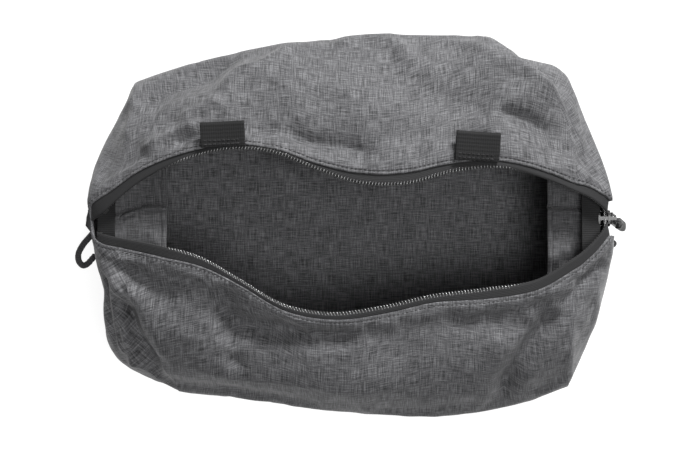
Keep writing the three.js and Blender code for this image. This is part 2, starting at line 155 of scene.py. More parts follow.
# How far the seam at the start of each panel stands out as a ridge, and how far the ridge reaches into
# that panel and into the one before it.
SEAM_RIDGES = {
    "front_panel": (6, 45, 14),
    "right_end_panel": (1.5, 22, 22),
    "rear_panel": (2, 20, 20),
    "left_end_panel": (1.2, 22, 22),
}
DRAWN_IN = 2.6  # the smooth shell keeps this far inside the outline, which its creases then reach
FULL_CORNER = (-115, 108)  # but hardly at all round the rear left corner, which has few creases
FULL_REACH = 60

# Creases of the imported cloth: a line in plan, its depth (below zero for a valley), its half width, its
# sharpness from 0, a round fold, to 1, a pressed crease, and its lean: above zero, it is wider to the
# left of its line and steeper to the right.
FOLDS = [
    ([(-137, 76), (-121, 87), (-94, 98), (-71, 111)], -3.4, 12, 0.5, 0.3),
    ([(-36, 119), (-48, 109), (-58, 103), (-76, 98), (-85, 89)], 2.2, 9, 0.7, 0),
    ([(-12, 113), (-3, 120), (7, 123), (18, 122), (30, 118), (43, 111)], 2.4, 8, 0.5, 0),
    ([(15, 99), (34, 97), (52, 86), (79, 79), (94, 74)], -2.4, 16, 0.2, 0),
    ([(94, 74), (117, 67), (131, 56)], -2.0, 8, 0.8, 0),
    ([(81, 126), (95, 112), (106, 103), (121, 93), (133, 84)], 2.8, 18, 1.0, -0.3),
    ([(106, 113), (121, 101), (134, 90)], -2.6, 9, 0.4, 0),
    ([(-134, 48), (-119, 56), (-108, 61), (-95, 66)], 2.4, 8, 0.7, 0),
    ([(-112, 51), (-100, 56), (-90, 60)], -2.4, 8, 0.2, 0),
    ([(-66, 60), (-32, 54), (-1, 49), (14, 48)], -4.2, 11, 0.3, 0),
    ([(-80, -47), (-79, -58), (-75, -66), (-63, -68), (-32, -69), (8, -67)], -4.6, 10, 0.8, 0),
    ([(-148, -26), (-138, -34), (-125, -44), (-110, -47)], -2.8, 9, 0.4, 0),
    ([(-109, -93), (-70, -98), (-33, -102), (0, -106), (35, -104)], 2.6, 15, 0.3, 0),
    ([(136, -55), (126, -68), (116, -83), (106, -101), (99, -117)], -3.6, 9, 1.0, -0.35),
    ([(167, -23), (152, -34), (144, -40)], -2.2, 8, 0.4, 0),
    ([(57, -60), (84, -59), (111, -53), (130, -49)], -2.4, 11, 0.3, 0),
    ([(-153, -33), (-152, -42), (-152, -56), (-150, -75), (-148, -86)], 3.0, 6, 0.7, 0),
    ([(-159, -24), (-158, -40), (-156, -60), (-153, -85)], -3.0, 7, 0.4, 0),
    ([(-147, -46), (-145, -57), (-145, -71)], -3.0, 7, 0.4, 0),
    ([(-148, -88), (-137, -92), (-129, -97), (-123, -103)], 2.6, 8, 0.8, 0),
    ([(-149, -44), (-143, -62), (-133, -84), (-124, -100)], -3.6, 8, 0.5, 0),
    ([(-111, 68), (-95, 76), (-82, 83)], 1.6, 8, 0.6, 0),
    ([(-160, -21), (-150, -38), (-140, -54)], 2.4, 9, 1.0, 0.5),
    ([(145, -45), (137, -56), (127, -67)], -0.8, 8, 0.6, 0),
    ([(-76, -36), (-78, -46), (-80, -55)], -2.0, 8, 0.4, 0),
    ([(-78, -85), (-69, -92)], -1.6, 6, 0.6, 0),
    ([(90, -70), (104, -67), (117, -63)], -1.2, 9, 0.4, 0),
]

# ---- Curves and surfaces -------------------------------------------------------------------------


def unit(v):
    return v / np.maximum(np.linalg.norm(v, axis=-1, keepdims=True), 1e-12)


def curve_through(points, t):
    """The centripetal Catmull-Rom curve through the points, read at shares t of its spans."""
    points = np.asarray(points, float)
    padded = np.vstack([2 * points[0] - points[1], points, 2 * points[-1] - points[-2]])
    at = np.clip(t, 0, 1) * (len(points) - 1)
    span = np.minimum(at.astype(int), len(points) - 2)
    w = (at - span)[:, None]
    p0, p1, p2, p3 = (padded[span + k] for k in range(4))
    pairs = ((p0, p1), (p1, p2), (p2, p3))
    d0, d1, d2 = (np.sqrt(np.linalg.norm(b - a, axis=1, keepdims=True)) for a, b in pairs)
    m1 = ((p1 - p0) / d0 - (p2 - p0) / (d0 + d1) + (p2 - p1) / d1) * d1
    m2 = ((p2 - p1) / d1 - (p3 - p1) / (d1 + d2) + (p3 - p2) / d2) * d1
    return p1 + m1 * w + (3 * (p2 - p1) - 2 * m1 - m2) * w**2 + (2 * (p1 - p2) + m1 + m2) * w**3


def cubic_at(values, at):
    """Smoothly reads an array of evenly spaced samples at fractional places along its first axis."""
    n = len(values)
    base = np.clip(np.floor(at).astype(int), 0, n - 2)
    w = (at - base).reshape(-1, *[1] * (values.ndim - 1))
    a, b, c, d = (values[np.clip(base + k, 0, n - 1)] for k in (-1, 0, 1, 2))
    a = np.where((base == 0).reshape(w.shape), 2 * b - c, a)
    d = np.where((base == n - 2).reshape(w.shape), 2 * c - b, d)
    return b + 0.5 * w * (c - a + w * (2 * a - 5 * b + 4 * c - d + w * (3 * (b - c) + d - a)))


def lengths_along(points):
    steps = np.linalg.norm(np.diff(points, axis=0), axis=-1)
    return np.concatenate([np.zeros((1, *steps.shape[1:])), np.cumsum(steps, axis=0)])


def read_along(line, along, at):
    """The points of a line, which has its points at the lengths along, at other lengths."""
    return np.stack([np.interp(at, along, line[:, k]) for k in range(line.shape[1])], axis=1)


def evenly(points, count):
    """The same line again as count points a constant distance apart."""
    along = lengths_along(points)
    return read_along(points, along, np.linspace(0, along[-1], count))


def wall_lines(name, u):
    """The zip edge, hem, widest line and foot of a wall at shares u, and the way out across the tape."""
    stations = np.array(WALLS[name], float)
    lip = curve_through(stations[:, :3], u)
    wide = curve_through(stations[:, 3:6], u)
    full_corner = np.linalg.norm(wide[:, :2] - FULL_CORNER, axis=1) / FULL_REACH
    drawn_in = DRAWN_IN * np.clip((165 - wide[:, 0]) / 25, 0, 1) * (1 - 0.85 * np.exp(-(full_corner**2)))
    wide -= unit(wide * [1, 1, 0]) * drawn_in[:, None]
    tape = np.interp(u, np.linspace(0, 1, len(stations)), stations[:, 6])
    out = wide - lip
    out[:, 2] = 0
    reach = np.minimum(tape, 0.6 * np.linalg.norm(out, axis=1))[:, None]
    out = unit(out)
    hem = lip + out * reach + [0, 0, HEM_LIFT]
    foot = wide * [FOOT_SCALE, FOOT_SCALE, 0] + [0, 0, FOOT_Z]
    return {"lip": lip, "hem": hem, "wide": wide, "foot": foot, "out": out, "reach": reach}


def wall_column(hem, wide, foot, bow):
    """One line down a wall, evenly spaced: over the shoulder to the widest line, then in to the foot."""
    turn = np.linspace(0, math.pi / 2, 60)[:, None]
    across = np.sin(turn) ** FULLNESS
    down = 1 - np.maximum(np.cos(turn), 0) ** FULLNESS
    upper = np.hstack([hem[:2] + (wide - hem)[:2] * across, hem[2] + (wide - hem)[2] * down])
    upper[:, :2] += bow * np.sin(math.pi * across)
    inward = 1 - np.cos(turn)
    lower = np.hstack([wide[:2] + (foot - wide)[:2] * inward, wide[2] + (foot - wide)[2] * np.sin(turn)])
    return evenly(np.vstack([upper, lower[1:]]), SHELL_ROWS)


def shell_grid():
    """The bag's whole wall as one closed ring of columns, and where each panel starts on it."""
    columns, starts = [], {}
    names = list(WALLS)
    for index, name in enumerate(names):
        rim = wall_lines(name, np.linspace(0, 1, 400))["wide"]
        length = lengths_along(rim)[-1]
        count = round(length / GRID)
        share = np.interp(np.linspace(0, 1, count + 1), lengths_along(rim) / length, np.linspace(0, 1, 400))
        lines = wall_lines(name, share)
        starts[name] = len(columns)
        near, far = SEAM_BOWS[name], SEAM_BOWS[names[(index + 1) % 4]]
        for i in range(count):
            along = i / count * length
            fade = [math.cos(min(d / BOW_REACH, 1) * math.pi / 2) ** 2 for d in (along, length - along)]
            bow = np.array(near) * fade[0] + np.array(far) * fade[1]
            columns.append(wall_column(lines["hem"][i], lines["wide"][i], lines["foot"][i], bow))
    return np.array(columns), starts


def around_ring(grid):
    """The step at each column of a ring from the column before it to the one after it."""
    return np.roll(grid, -1, axis=0) - np.roll(grid, 1, axis=0)


def ring_normals(grid):
    """Outward normals of a ring of columns."""
    return unit(np.cross(np.gradient(grid, axis=1), around_ring(grid)))


def distance_to_line(xy, line):
    """How far each point is from a polyline, the share of the line that it is nearest to, and whether it
    lies to the left of it, 1, or to the right, -1, in plan."""
    best = np.full(xy.shape[:-1], np.inf)
    share = np.zeros(xy.shape[:-1])
    side = np.zeros(xy.shape[:-1])
    line = np.asarray(line, float)
    along = lengths_along(line)
    for i in range(len(line) - 1):
        step = line[i + 1] - line[i]
        t = np.clip(((xy - line[i]) @ step) / max(step @ step, 1e-9), 0, 1)
        off = xy - line[i] - t[..., None] * step
        far = np.linalg.norm(off, axis=-1)
        closer = far < best
        best = np.where(closer, far, best)
        share = np.where(closer, (along[i] + t * np.linalg.norm(step)) / along[-1], share)
        side = np.where(closer, np.sign(step[0] * off[..., 1] - step[1] * off[..., 0]), side)
    return best, share, side


def fold_depths(xy):
    """The folds as they are before the cloth settles, all round enough for it to carry."""
    total = np.zeros(xy.shape[:-1])
    for line, depth, half_width, sharp, _ in FOLDS:
        far, share, _ = distance_to_line(xy, curve_through(line, np.linspace(0, 1, 24)))
        round_fold = np.exp(-((far / (0.7 * half_width)) ** 2))
        ends = np.clip(np.minimum(share, 1 - share) * 6 + 0.25, 0, 1)
        total += FOLD_GAIN * depth * ends * (1 - 0.3 * sharp) * round_fold
    return DEEPEST_FOLD * np.tanh(total / DEEPEST_FOLD)


def pressed_creases(points, short_creases):
    """The sharp creases, laid over the settled cloth: the folds' pressed lines and short crumples."""
    total = np.zeros(points.shape[:-1])
    for line, depth, half_width, sharp, lean in FOLDS:
        far, share, side = distance_to_line(points[..., :2], curve_through(line, np.linspace(0, 1, 24)))
        facets = np.maximum(0, 1 - far / (1.4 * half_width * (1 + lean * side))) ** 1.25
        line_itself = np.exp(-((far / 1.5) ** 2))
        ends = np.clip(np.minimum(share, 1 - share) * 5 + 0.1, 0, 1)
        total += PRESS_GAIN * depth * ends * sharp * (facets + 0.2 * line_itself)
    for line, depth, half_width in short_creases:
        far, share, _ = distance_to_line(points, line)
        ends = np.sin(math.pi * np.clip(share, 0.02, 0.98)) ** 0.7
        total += depth * ends * np.maximum(0, 1 - far / half_width) ** 1.3
    return total


def crumples(cloth, count=90):
    """Short creases at random over the settled cloth: a line in space, its depth and half width."""
    made = []
    columns, rows = cloth.shape[:2]
    for _ in range(count):
        i, j = rng.integers(columns), rng.integers(5, rows - 10)
        lean = rng.uniform(-1.2, 1.2)
        steps = np.linspace(-0.5, 0.5, 5) * rng.uniform(14, 46) / GRID
        ring = (i + steps * math.cos(lean)).astype(int) % columns
        row = np.clip((j + steps * math.sin(lean)).astype(int), 3, rows - 4)
        half_width = rng.uniform(5, 20)
        depth = rng.choice((-1, 1)) * rng.uniform(0.05, 0.12) * half_width
        made.append((cloth[ring, row], depth, half_width))
    return made


def ripples(points, wavelength, count=14):
    """Smooth noise of about unit height: plane waves of near the same length in fixed directions."""
    total = np.zeros(points.shape[:-1])
    for _ in range(count):
        way = unit(rng.normal(size=3)) * 2 * math.pi / (wavelength * rng.uniform(0.7, 1.5))
        total += np.sin(points @ way + rng.uniform(0, 2 * math.pi))
    return total / math.sqrt(count / 2)


# ---- Mesh helpers --------------------------------------------------------------------------------


def object_from(name, points, faces, materials, uv=None):
    """A mesh object from points in millimetres."""
    mesh = bpy.data.meshes.new(name)
    mesh.from_pydata((np.asarray(points, float) * MM).tolist(), [], [list(f) for f in faces])
    for material in materials:
        mesh.materials.append(material)
    if uv is not None:
        layer = mesh.uv_layers.new(name="weave")
        corners = np.zeros(len(mesh.loops), np.int32)
        mesh.loops.foreach_get("vertex_index", corners)
        layer.data.foreach_set("uv", (np.asarray(uv, float) * MM)[corners].astype(np.float32).ravel())
    mesh.polygons.foreach_set("use_smooth", np.full(len(mesh.polygons), True))
    mesh.validate()
    mesh.update()
    made = bpy.data.objects.new(name, mesh)
    bpy.context.scene.collection.objects.link(made)
    return made


def grid_faces(columns, rows, wrap_columns=False, wrap_rows=False):
    faces = []
    for i in range(columns if wrap_columns else columns - 1):
        for j in range(rows if wrap_rows else rows - 1):
            i2, j2 = (i + 1) % columns, (j + 1) % rows
            faces.append((i * rows + j, i * rows + j2, i2 * rows + j2, i2 * rows + j))
    return faces


def sheet_from(name, grid, materials, uv):
    """A sheet through a grid of points, with the places of its points on the flat cloth."""
    faces = grid_faces(*grid.shape[:2])
    return object_from(name, grid.reshape(-1, 3), faces, materials, uv.reshape(-1, 2))


def outward(made):
    """Turns a closed mesh's faces outwards."""
    work = bmesh.new()
    work.from_mesh(made.data)
    bmesh.ops.remove_doubles(work, verts=work.verts, dist=1e-7)
    bmesh.ops.recalc_face_normals(work, faces=work.faces)
    if work.calc_volume(signed=True) < 0:
        bmesh.ops.reverse_faces(work, faces=work.faces)
    work.to_mesh(made.data)
    work.free()
    made.data.update()
    return made


def tube_of_sections(name, sections, materials, uv=None):
    """A closed body swept through rings of points: sections is [along, around, xyz]."""
    count, around = sections.shape[:2]
    faces = grid_faces(count, around, wrap_rows=True)
    faces.append(tuple(range(around)))
    faces.append(tuple(reversed(range((count - 1) * around, count * around))))
    flat_uv = None if uv is None else uv.reshape(-1, 2)
    return outward(object_from(name, sections.reshape(-1, 3), faces, materials, flat_uv))


def turns(count):
    """Evenly spaced angles once round a circle."""
    return np.linspace(0, 2 * math.pi, count, endpoint=False)


def circles(one, other, turn):
    """A ring of unit vectors at each point of a path, turning from one direction to the other."""
    return one[:, None] * np.cos(turn)[None, :, None] + other[:, None] * np.sin(turn)[None, :, None]


def frames_along(path, up):
    """Tangent, side and up unit vectors at each point of a path."""
    tangent = unit(np.gradient(path, axis=0))
    side = unit(np.cross(tangent, np.broadcast_to(up, path.shape)))
    return tangent, side, np.cross(side, tangent)


def thicken(made, thickness, offset, **settings):
    """Bakes a thickness, in millimetres, into a sheet, and shades it smooth."""
    modifier = made.modifiers.new("thickness", "SOLIDIFY")
    modifier.thickness = thickness * MM
    modifier.offset = offset
    modifier.use_rim = True
    for key, value in settings.items():
        setattr(modifier, key, value)
    bpy.context.view_layer.update()
    evaluated = made.evaluated_get(bpy.context.evaluated_depsgraph_get())
    mesh = bpy.data.meshes.new_from_object(evaluated)
    made.modifiers.clear()
    made.data = mesh
    mesh.polygons.foreach_set("use_smooth", np.full(len(mesh.polygons), True))


def belongs(piece, body, slot, *nodes):
    """Says which body a piece rides on and which CAD nodes it stands for. The slot is not used."""
    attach(piece, body)
    if nodes:
        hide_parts(*nodes)


def turned(points, axis, degrees):
    """Points turned about a coordinate axis, from 0 for X to 2 for Z."""
    points = np.asarray(points, float)
    a, b = ((1, 2), (2, 0), (0, 1))[axis]
    cos, sin = math.cos(math.radians(degrees)), math.sin(math.radians(degrees))
    result = points.copy()
    result[..., a] = points[..., a] * cos - points[..., b] * sin
    result[..., b] = points[..., a] * sin + points[..., b] * cos
    return result


# ---- Materials -----------------------------------------------------------------------------------


def node(tree, kind, inputs=None, **settings):
    made = tree.nodes.new("ShaderNode" + kind)
    for key, value in settings.items():
        setattr(made, key, value)
    for key, value in (inputs or {}).items():
        if isinstance(value, bpy.types.NodeSocket):
            tree.links.new(value, made.inputs[key])
        else:
            made.inputs[key].default_value = value
    return made


def new_material(name, roughness, metallic=0.0, *, specular, sheen=0.0):
    material = bpy.data.materials.new(name)
    material.use_nodes = True
    tree = material.node_tree
    shader = tree.nodes["Principled BSDF"]
    values = {"Roughness": roughness, "Metallic": metallic, "Specular IOR Level": specular}
    values.update({"Sheen Weight": sheen, "Sheen Roughness": 0.5})
    for key, value in values.items():
        shader.inputs[key].default_value = value
    return material, tree, shader


def scaled_noise(tree, vector, scale, detail=2.0):
    """Noise stretched by a scale on each axis."""
    mapped = node(tree, "Mapping", {"Vector": vector, "Scale": scale}).outputs[0]
    return node(tree, "TexNoise", {"Vector": mapped, "Scale": 1.0, "Detail": detail}).outputs[0]


def waves(tree, vector, scale, distortion, way):
    settings = {"Vector": vector, "Scale": scale, "Distortion": distortion}
    return node(tree, "TexWave", settings, bands_direction=way).outputs[1]


def flat_cloth(tree):
    """The place on the cloth laid flat, in metres."""
    return node(tree, "UVMap", uv_map="weave").outputs[0]


def math_node(tree, operation, a, b):
    return node(tree, "Math", {0: a, 1: b}, operation=operation).outputs[0]


def ramp(tree, factor, stops):
    made = node(tree, "ValToRGB", {"Fac": factor})
    elements = made.color_ramp.elements
    while len(elements) < len(stops):
        elements.new(0.5)
    for element, (place, colour) in zip(elements, stops):
        element.position = place
        element.color = (*colour, 1)
    return made.outputs[0]


def colour_by(tree, shader, factor, stops):
    tree.links.new(ramp(tree, factor, stops), shader.inputs["Base Color"])


def bump_by(tree, shader, height, strength, distance):
    bump = node(tree, "Bump", {"Strength": strength, "Distance": distance, "Height": height})
    tree.links.new(bump.outputs[0], shader.inputs["Normal"])


def grey(value, blue=0.0):
    return (value * (1 - blue * 0.3), value * (1 - blue * 0.3), value * (1 + blue))


def heather_cloth(name, dark, light, contrast=1.0):
    """Two-tone yarns crossing: thin streaks along the warp and the weft, light on dark."""
    material, tree, shader = new_material(name, 0.72, specular=0.28, sheen=0.12)
    uv = flat_cloth(tree)
    warp = scaled_noise(tree, uv, (1700, 95, 1), 1.0)
    weft = scaled_noise(tree, uv, (110, 1700, 1), 1.0)
    grain = scaled_noise(tree, uv, (1300, 1300, 1), 1.0)
    crossed = math_node(tree, "MULTIPLY", math_node(tree, "ADD", warp, weft), 0.65)
    threads = math_node(tree, "ADD", crossed, math_node(tree, "MULTIPLY", grain, 0.3))
    patches = scaled_noise(tree, uv, (60, 60, 1))
    tone = math_node(tree, "ADD", threads, math_node(tree, "MULTIPLY", patches, 0.12 * contrast))
    half = 0.205 / contrast
    middle = grey((dark + light) * 0.44, 0.04)
    stops = [(0.5 - half, grey(dark, 0.05)), (0.5, middle), (0.5 + half, grey(light, 0.03))]
    colour_by(tree, shader, math_node(tree, "SUBTRACT", tone, 0.36), stops)
    over, under = (waves(tree, uv, 420.0, 0.4, way) for way in "XY")
    weave = math_node(tree, "MULTIPLY", over, under)
    height = math_node(tree, "ADD", math_node(tree, "MULTIPLY", weave, 0.5), threads)
    bump_by(tree, shader, height, 0.35, 0.00025)
    return material


def coated_side(name, tone):
    """The proofed inside of the cloth: a faint weave under a satin film."""
    material, tree, shader = new_material(name, 0.5, specular=0.4)
    uv = flat_cloth(tree)
    one, other = (scaled_noise(tree, uv, scale) for scale in ((1500, 240, 1), (240, 1500, 1)))
    threads = math_node(tree, "ADD", one, other)
    stops = [(0.35, grey(tone * 0.8)), (0.65, grey(tone * 1.25))]
    colour_by(tree, shader, math_node(tree, "MULTIPLY", threads, 0.5), stops)
    bump_by(tree, shader, threads, 0.25, 0.0002)
    return material


def ribbed_textile(name, dark, light, ribs, sheen=0.15, across=0.0):
    """Narrow woven goods, such as tape and webbing: ribs at a pitch along v, with finer ends across."""
    material, tree, shader = new_material(name, 0.7, specular=0.18, sheen=sheen)
    uv = flat_cloth(tree)
    wave_scale = 1 / (ribs * MM) / 20 * math.pi
    rib = waves(tree, uv, wave_scale, 0.6, "Y")
    ends = waves(tree, uv, wave_scale * 1.7, 0.4, "X")
    fuzz = scaled_noise(tree, uv, (900, 900, 1))
    strong, soft = (math_node(tree, "MULTIPLY", part, share) for part, share in ((rib, 0.6), (fuzz, 0.5)))
    pattern = math_node(tree, "ADD", strong, soft)
    pattern = math_node(tree, "ADD", pattern, math_node(tree, "MULTIPLY", ends, across))
    colour_by(tree, shader, pattern, [(0.15, grey(dark, 0.03)), (0.95, grey(light, 0.03))])
    bump_by(tree, shader, pattern, 0.5, 0.0003)
    return material


def hard_material(name, tone, roughness, metallic=0.0, specular=0.5, scale=900.0):
    """Metal, nylon or rubber: even colour, with fine mottling and worn gloss."""
    material, tree, shader = new_material(name, roughness, metallic, specular=specular)
    place = node(tree, "NewGeometry").outputs["Position"]
    speckle = scaled_noise(tree, place, (scale, scale, scale), 3.0)
    colour_by(tree, shader, speckle, [(0.3, grey(tone * 0.75)), (0.7, grey(tone * 1.25))])
    limits = {"To Min": roughness * 0.8, "To Max": roughness * 1.25}
    gloss = node(tree, "MapRange", {"Value": speckle, **limits})
    tree.links.new(gloss.outputs[0], shader.inputs["Roughness"])
    bump_by(tree, shader, speckle, 0.15, 0.00008)
    return material


CLOTH_OUT = heather_cloth("heather_outside", 0.018, 0.143)
CLOTH_IN = coated_side("coated_inside", 0.06)
POCKET = heather_cloth("pocket_lining", 0.015, 0.1, contrast=0.9)
TAPE = ribbed_textile("zip_tape_weave", 0.012, 0.021, 0.5, across=0.3, sheen=0.04)
WEBBING = ribbed_textile("webbing_weave", 0.004, 0.009, 1.2, across=0.4, sheen=0.03)
# The end facings' near-black is painted shade: it stands in for the shaded inside of the bag beyond the
# pockets.
PAINTED_SHADE_CLOTH = ribbed_textile("painted_shade_facing_weave", 0.006, 0.016, 0.7, sheen=0.05)
BINDING = ribbed_textile("binding_weave", 0.015, 0.035, 1.1)
THREAD = ribbed_textile("dark_thread", 0.012, 0.03, 0.5)
COIL = hard_material("coil_nylon", 0.16, 0.22, metallic=0.5, specular=0.9)
METAL = hard_material("gunmetal", 0.055, 0.34, metallic=0.8, scale=400.0)
STOP_METAL = hard_material("stop_metal", 0.05, 0.35, metallic=0.6)
CORD = ribbed_textile("cord_weave", 0.010, 0.034, 0.8, across=0.4)
RUBBER = hard_material("pull_rubber", 0.012, 0.42, specular=0.35, scale=1500.0)

# ---- Camera, light and floor -----------------------------------------------------------------------


def make_stage():
    data = bpy.data.cameras.new("camera")
    data.sensor_width = 36
    data.lens = CAMERA_LENS
    camera = bpy.data.objects.new("camera", data)
    camera.location = CAMERA_PLACE
    bpy.context.scene.collection.objects.link(camera)
    bpy.context.scene.camera = camera
    bpy.context.scene.view_settings.view_transform = "Standard"

    corners = [(3000 * x, 3000 * y, -0.4) for x, y in ((-1, -1), (1, -1), (1, 1), (-1, 1))]
    floor = object_from("floor", corners, [(0, 1, 2, 3)], [floor_material()])

    world = bpy.data.worlds.new("studio")
    world.use_nodes = True
    world.node_tree.nodes["Background"].inputs["Color"].default_value = (1, 1, 1, 1)
    world.node_tree.nodes["Background"].inputs["Strength"].default_value = 0.23
    bpy.context.scene.world = world

    for name, (place, size, power) in (("key", KEY_LIGHT), ("top", TOP_LIGHT)):
        light = bpy.data.lights.new(name, "AREA")
        light.shape = "SQUARE"
        light.size = size
        light.energy = power
        lamp = bpy.data.objects.new(name, light)
        lamp.location = place
        aim = Vector((0, 0, 0.05)) - Vector(place)
        lamp.rotation_euler = aim.to_track_quat("-Z", "Y").to_euler()
        bpy.context.scene.collection.objects.link(lamp)


def floor_material():
    material, tree, shader = new_material("floor", 0.9, specular=0.1)
    shader.inputs["Base Color"].default_value = (0.22, 0.22, 0.22, 1)
    shader.inputs["Emission Color"].default_value = (1, 1, 1, 1)
    shader.inputs["Emission Strength"].default_value = 0.88
    return material


make_stage()

# ---- Cloth walls -----------------------------------------------------------------------------------


def settle_cloth(grid):
    """Lets the creased shell buckle and relax as cloth, held by its hem and its foot."""
    columns, rows = grid.shape[:2]
    faces = grid_faces(columns, rows, wrap_columns=True)
    cloth = object_from("settling_cloth", grid.reshape(-1, 3), faces, [])
    held = cloth.vertex_groups.new(name="held")
    for row, weight in ((0, 1.0), (1, 1.0), (2, 0.5), (rows - 2, 0.6), (rows - 1, 1.0)):
        held.add([i * rows + row for i in range(columns)], weight, "REPLACE")
    widest = np.argmax(np.linalg.norm(grid[..., :2], axis=-1), axis=1)
    for i, row in enumerate(widest):
        held.add([int(i * rows + row)], 0.8, "REPLACE")
    modifier = cloth.modifiers.new("cloth", "CLOTH")
    settings = {"quality": 6, "mass": 0.25, "tension_stiffness": 30, "compression_stiffness": 30,
                "shear_stiffness": 12, "bending_stiffness": 8.0, "tension_damping": 12,
                "compression_damping": 12, "shear_damping": 12, "bending_damping": 1, "air_damping": 3,
                "vertex_group_mass": "held", "shrink_min": -0.014, "use_pressure": True,
                "uniform_pressure_force": 0}
    for key, value in settings.items():
        setattr(modifier.settings, key, value)
    modifier.settings.effector_weights.gravity = 0.25
    modifier.collision_settings.use_collision = False
    scene = bpy.context.scene
    modifier.point_cache.frame_end = 30
    for moment in range(1, 25):
        scene.frame_set(moment)
    evaluated = cloth.evaluated_get(bpy.context.evaluated_depsgraph_get())
    result = np.zeros(len(cloth.data.vertices) * 3)
    evaluated.data.vertices.foreach_get("co", result)
    result = result.reshape(grid.shape) / MM
    scene.frame_set(1)
    bpy.data.objects.remove(cloth)
    moved = (result - grid) * outline_hold(ring_normals(plain_shell))
    far = np.linalg.norm(moved, axis=-1, keepdims=True)
    return grid + moved * (SETTLED_MOST * np.tanh(far / SETTLED_MOST) / np.maximum(far, 1e-9))


def outline_hold(normals):
    """Keeps the bag's outline: creases fade where the cloth stands upright, at its widest line."""
    upright = 1 - np.abs(normals[..., 2:])
    return 1 - 0.82 * np.clip((upright - 0.45) / 0.5, 0, 1)


def ease_crowded(cloth, passes=14):
    """Evens out the columns that lie crowded together, so that the cloth doesn't fold over itself."""
    for _ in range(passes):
        middle = 0.5 * (np.roll(cloth, 1, axis=0) + np.roll(cloth, -1, axis=0))
        spacing = np.linalg.norm(around_ring(cloth), axis=-1) / 2
        cloth = cloth + (middle - cloth) * np.clip(1.4 - spacing / 1.5, 0, 0.8)[..., None]
    return cloth


def ease_tight_folds(cloth, closed, sharpest=0.65, passes=16):
    """Rounds the folds that turn too sharply from one point to the next. Edges stay put."""
    cloth = cloth.copy()
    for _ in range(passes):
        around = around_ring(cloth) if closed else np.gradient(cloth, axis=0)
        faces = unit(np.cross(np.gradient(cloth, axis=1), around))
        least = np.ones(faces.shape[:2])
        middle = np.zeros_like(cloth)
        for axis in (0, 1):
            for step in (1, -1):
                least = np.minimum(least, (faces * np.roll(faces, step, axis=axis)).sum(-1))
                middle += np.roll(cloth, step, axis=axis) / 4
        tight = np.clip((sharpest - least) / 0.3, 0, 1)
        for axis in (0, 1):
            spread = np.maximum(np.roll(tight, 1, axis=axis), np.roll(tight, -1, axis=axis))
            tight = np.maximum(tight, 0.7 * spread)
        tight[:, [0, 1, -2, -1]] = 0
        if not closed:
            tight[[0, -1]] = 0
        cloth += 0.6 * tight[..., None] * (middle - cloth)
    return cloth


def seam_ridges(cloth):
    """How far each corner seam stands out as a ridge, with flat facets falling away from it."""
    rim = lengths_along(np.vstack([cloth[:, SEAM_ROW], cloth[:1, SEAM_ROW]]))
    total = np.zeros(cloth.shape[:2])
    down = np.sin(math.pi * np.linspace(0.02, 0.98, cloth.shape[1])) ** 0.8
    for name, (height, after, before) in SEAM_RIDGES.items():
        past = (rim[:-1] - rim[panel_starts[name]]) % rim[-1]
        away = np.minimum(past / after, (rim[-1] - past) / before)
        total += (height * np.maximum(0, 1 - away) ** 1.2)[:, None] * down
    return total


shell, panel_starts = shell_grid()
plain_shell = shell.copy()
share_down = np.linspace(0, 1, SHELL_ROWS)[None, :]
inside_edges = np.clip(share_down / 0.08, 0, 1) * np.clip((1 - share_down) / 0.12, 0, 1)
crease_ways = ring_normals(plain_shell)
for _ in range(30):
    crease_ways = unit(2 * crease_ways + np.roll(crease_ways, 1, axis=0) + np.roll(crease_ways, -1, axis=0))
folds = (fold_depths(shell[..., :2]) + 0.4 * ripples(shell, 45)) * inside_edges
shell = shell + crease_ways * folds[..., None] * outline_hold(crease_ways)
shell = settle_cloth(shell)
shell = ease_tight_folds(ease_crowded(shell), True)
shell = shell + crease_ways * (seam_ridges(shell) * inside_edges)[..., None] * outline_hold(crease_ways)
short_creases = crumples(shell)
WALL_HEIGHT = float(np.linalg.norm(np.diff(shell, axis=1), axis=-1).sum(axis=1).mean())


def cloth_uv(name, columns):
    """Where each point of a wall was on the flat cloth: the grain runs along the panel's own plane."""
    across, outwards = (1, 0) if "end" in name else (0, 1)
    widest = np.argmax(np.abs(columns[..., outwards]), axis=1)
    steps = np.hypot(np.diff(columns[..., outwards], axis=1), np.diff(columns[..., 2], axis=1))
    down = np.concatenate([np.zeros((len(columns), 1)), np.cumsum(steps, axis=1)], axis=1)
    at_widest = np.take_along_axis(down, widest[:, None], axis=1)
    level = np.abs(np.take_along_axis(columns[..., outwards], widest[:, None], axis=1))
    offset = (level - at_widest)[:, 0]
    for _ in range(3):
        padded = np.pad(offset, 6, mode="reflect", reflect_type="odd")
        offset = np.convolve(padded, np.ones(13) / 13, "valid")
    return np.stack([columns[..., across], down + offset[:, None]], axis=-1)


def limit_slopes(creases, skin, steepest=1.0, passes=150):
    """Eases creases that run together, so that none is steeper than cloth can fold. Edges stay put."""
    over = np.maximum(np.abs(creases) - 4, 0)
    creases = np.sign(creases) * (np.minimum(np.abs(creases), 4) + 3 * np.tanh(over / 3))
    for _ in range(passes):
        for flip in (False, True):
            depth, points = (creases.T, skin.transpose(1, 0, 2)) if flip else (creases, skin)
            most = steepest * np.linalg.norm(np.diff(points, axis=0), axis=-1)
            step = np.diff(depth, axis=0)
            excess = (step - np.clip(step, -most, most)) / 2
            change = np.zeros_like(depth)
            change[1:] -= excess
            change[:-1] += excess
            if flip:
                change = change.T
            change[[0, -1]] = 0
            creases += 0.8 * change
    return creases


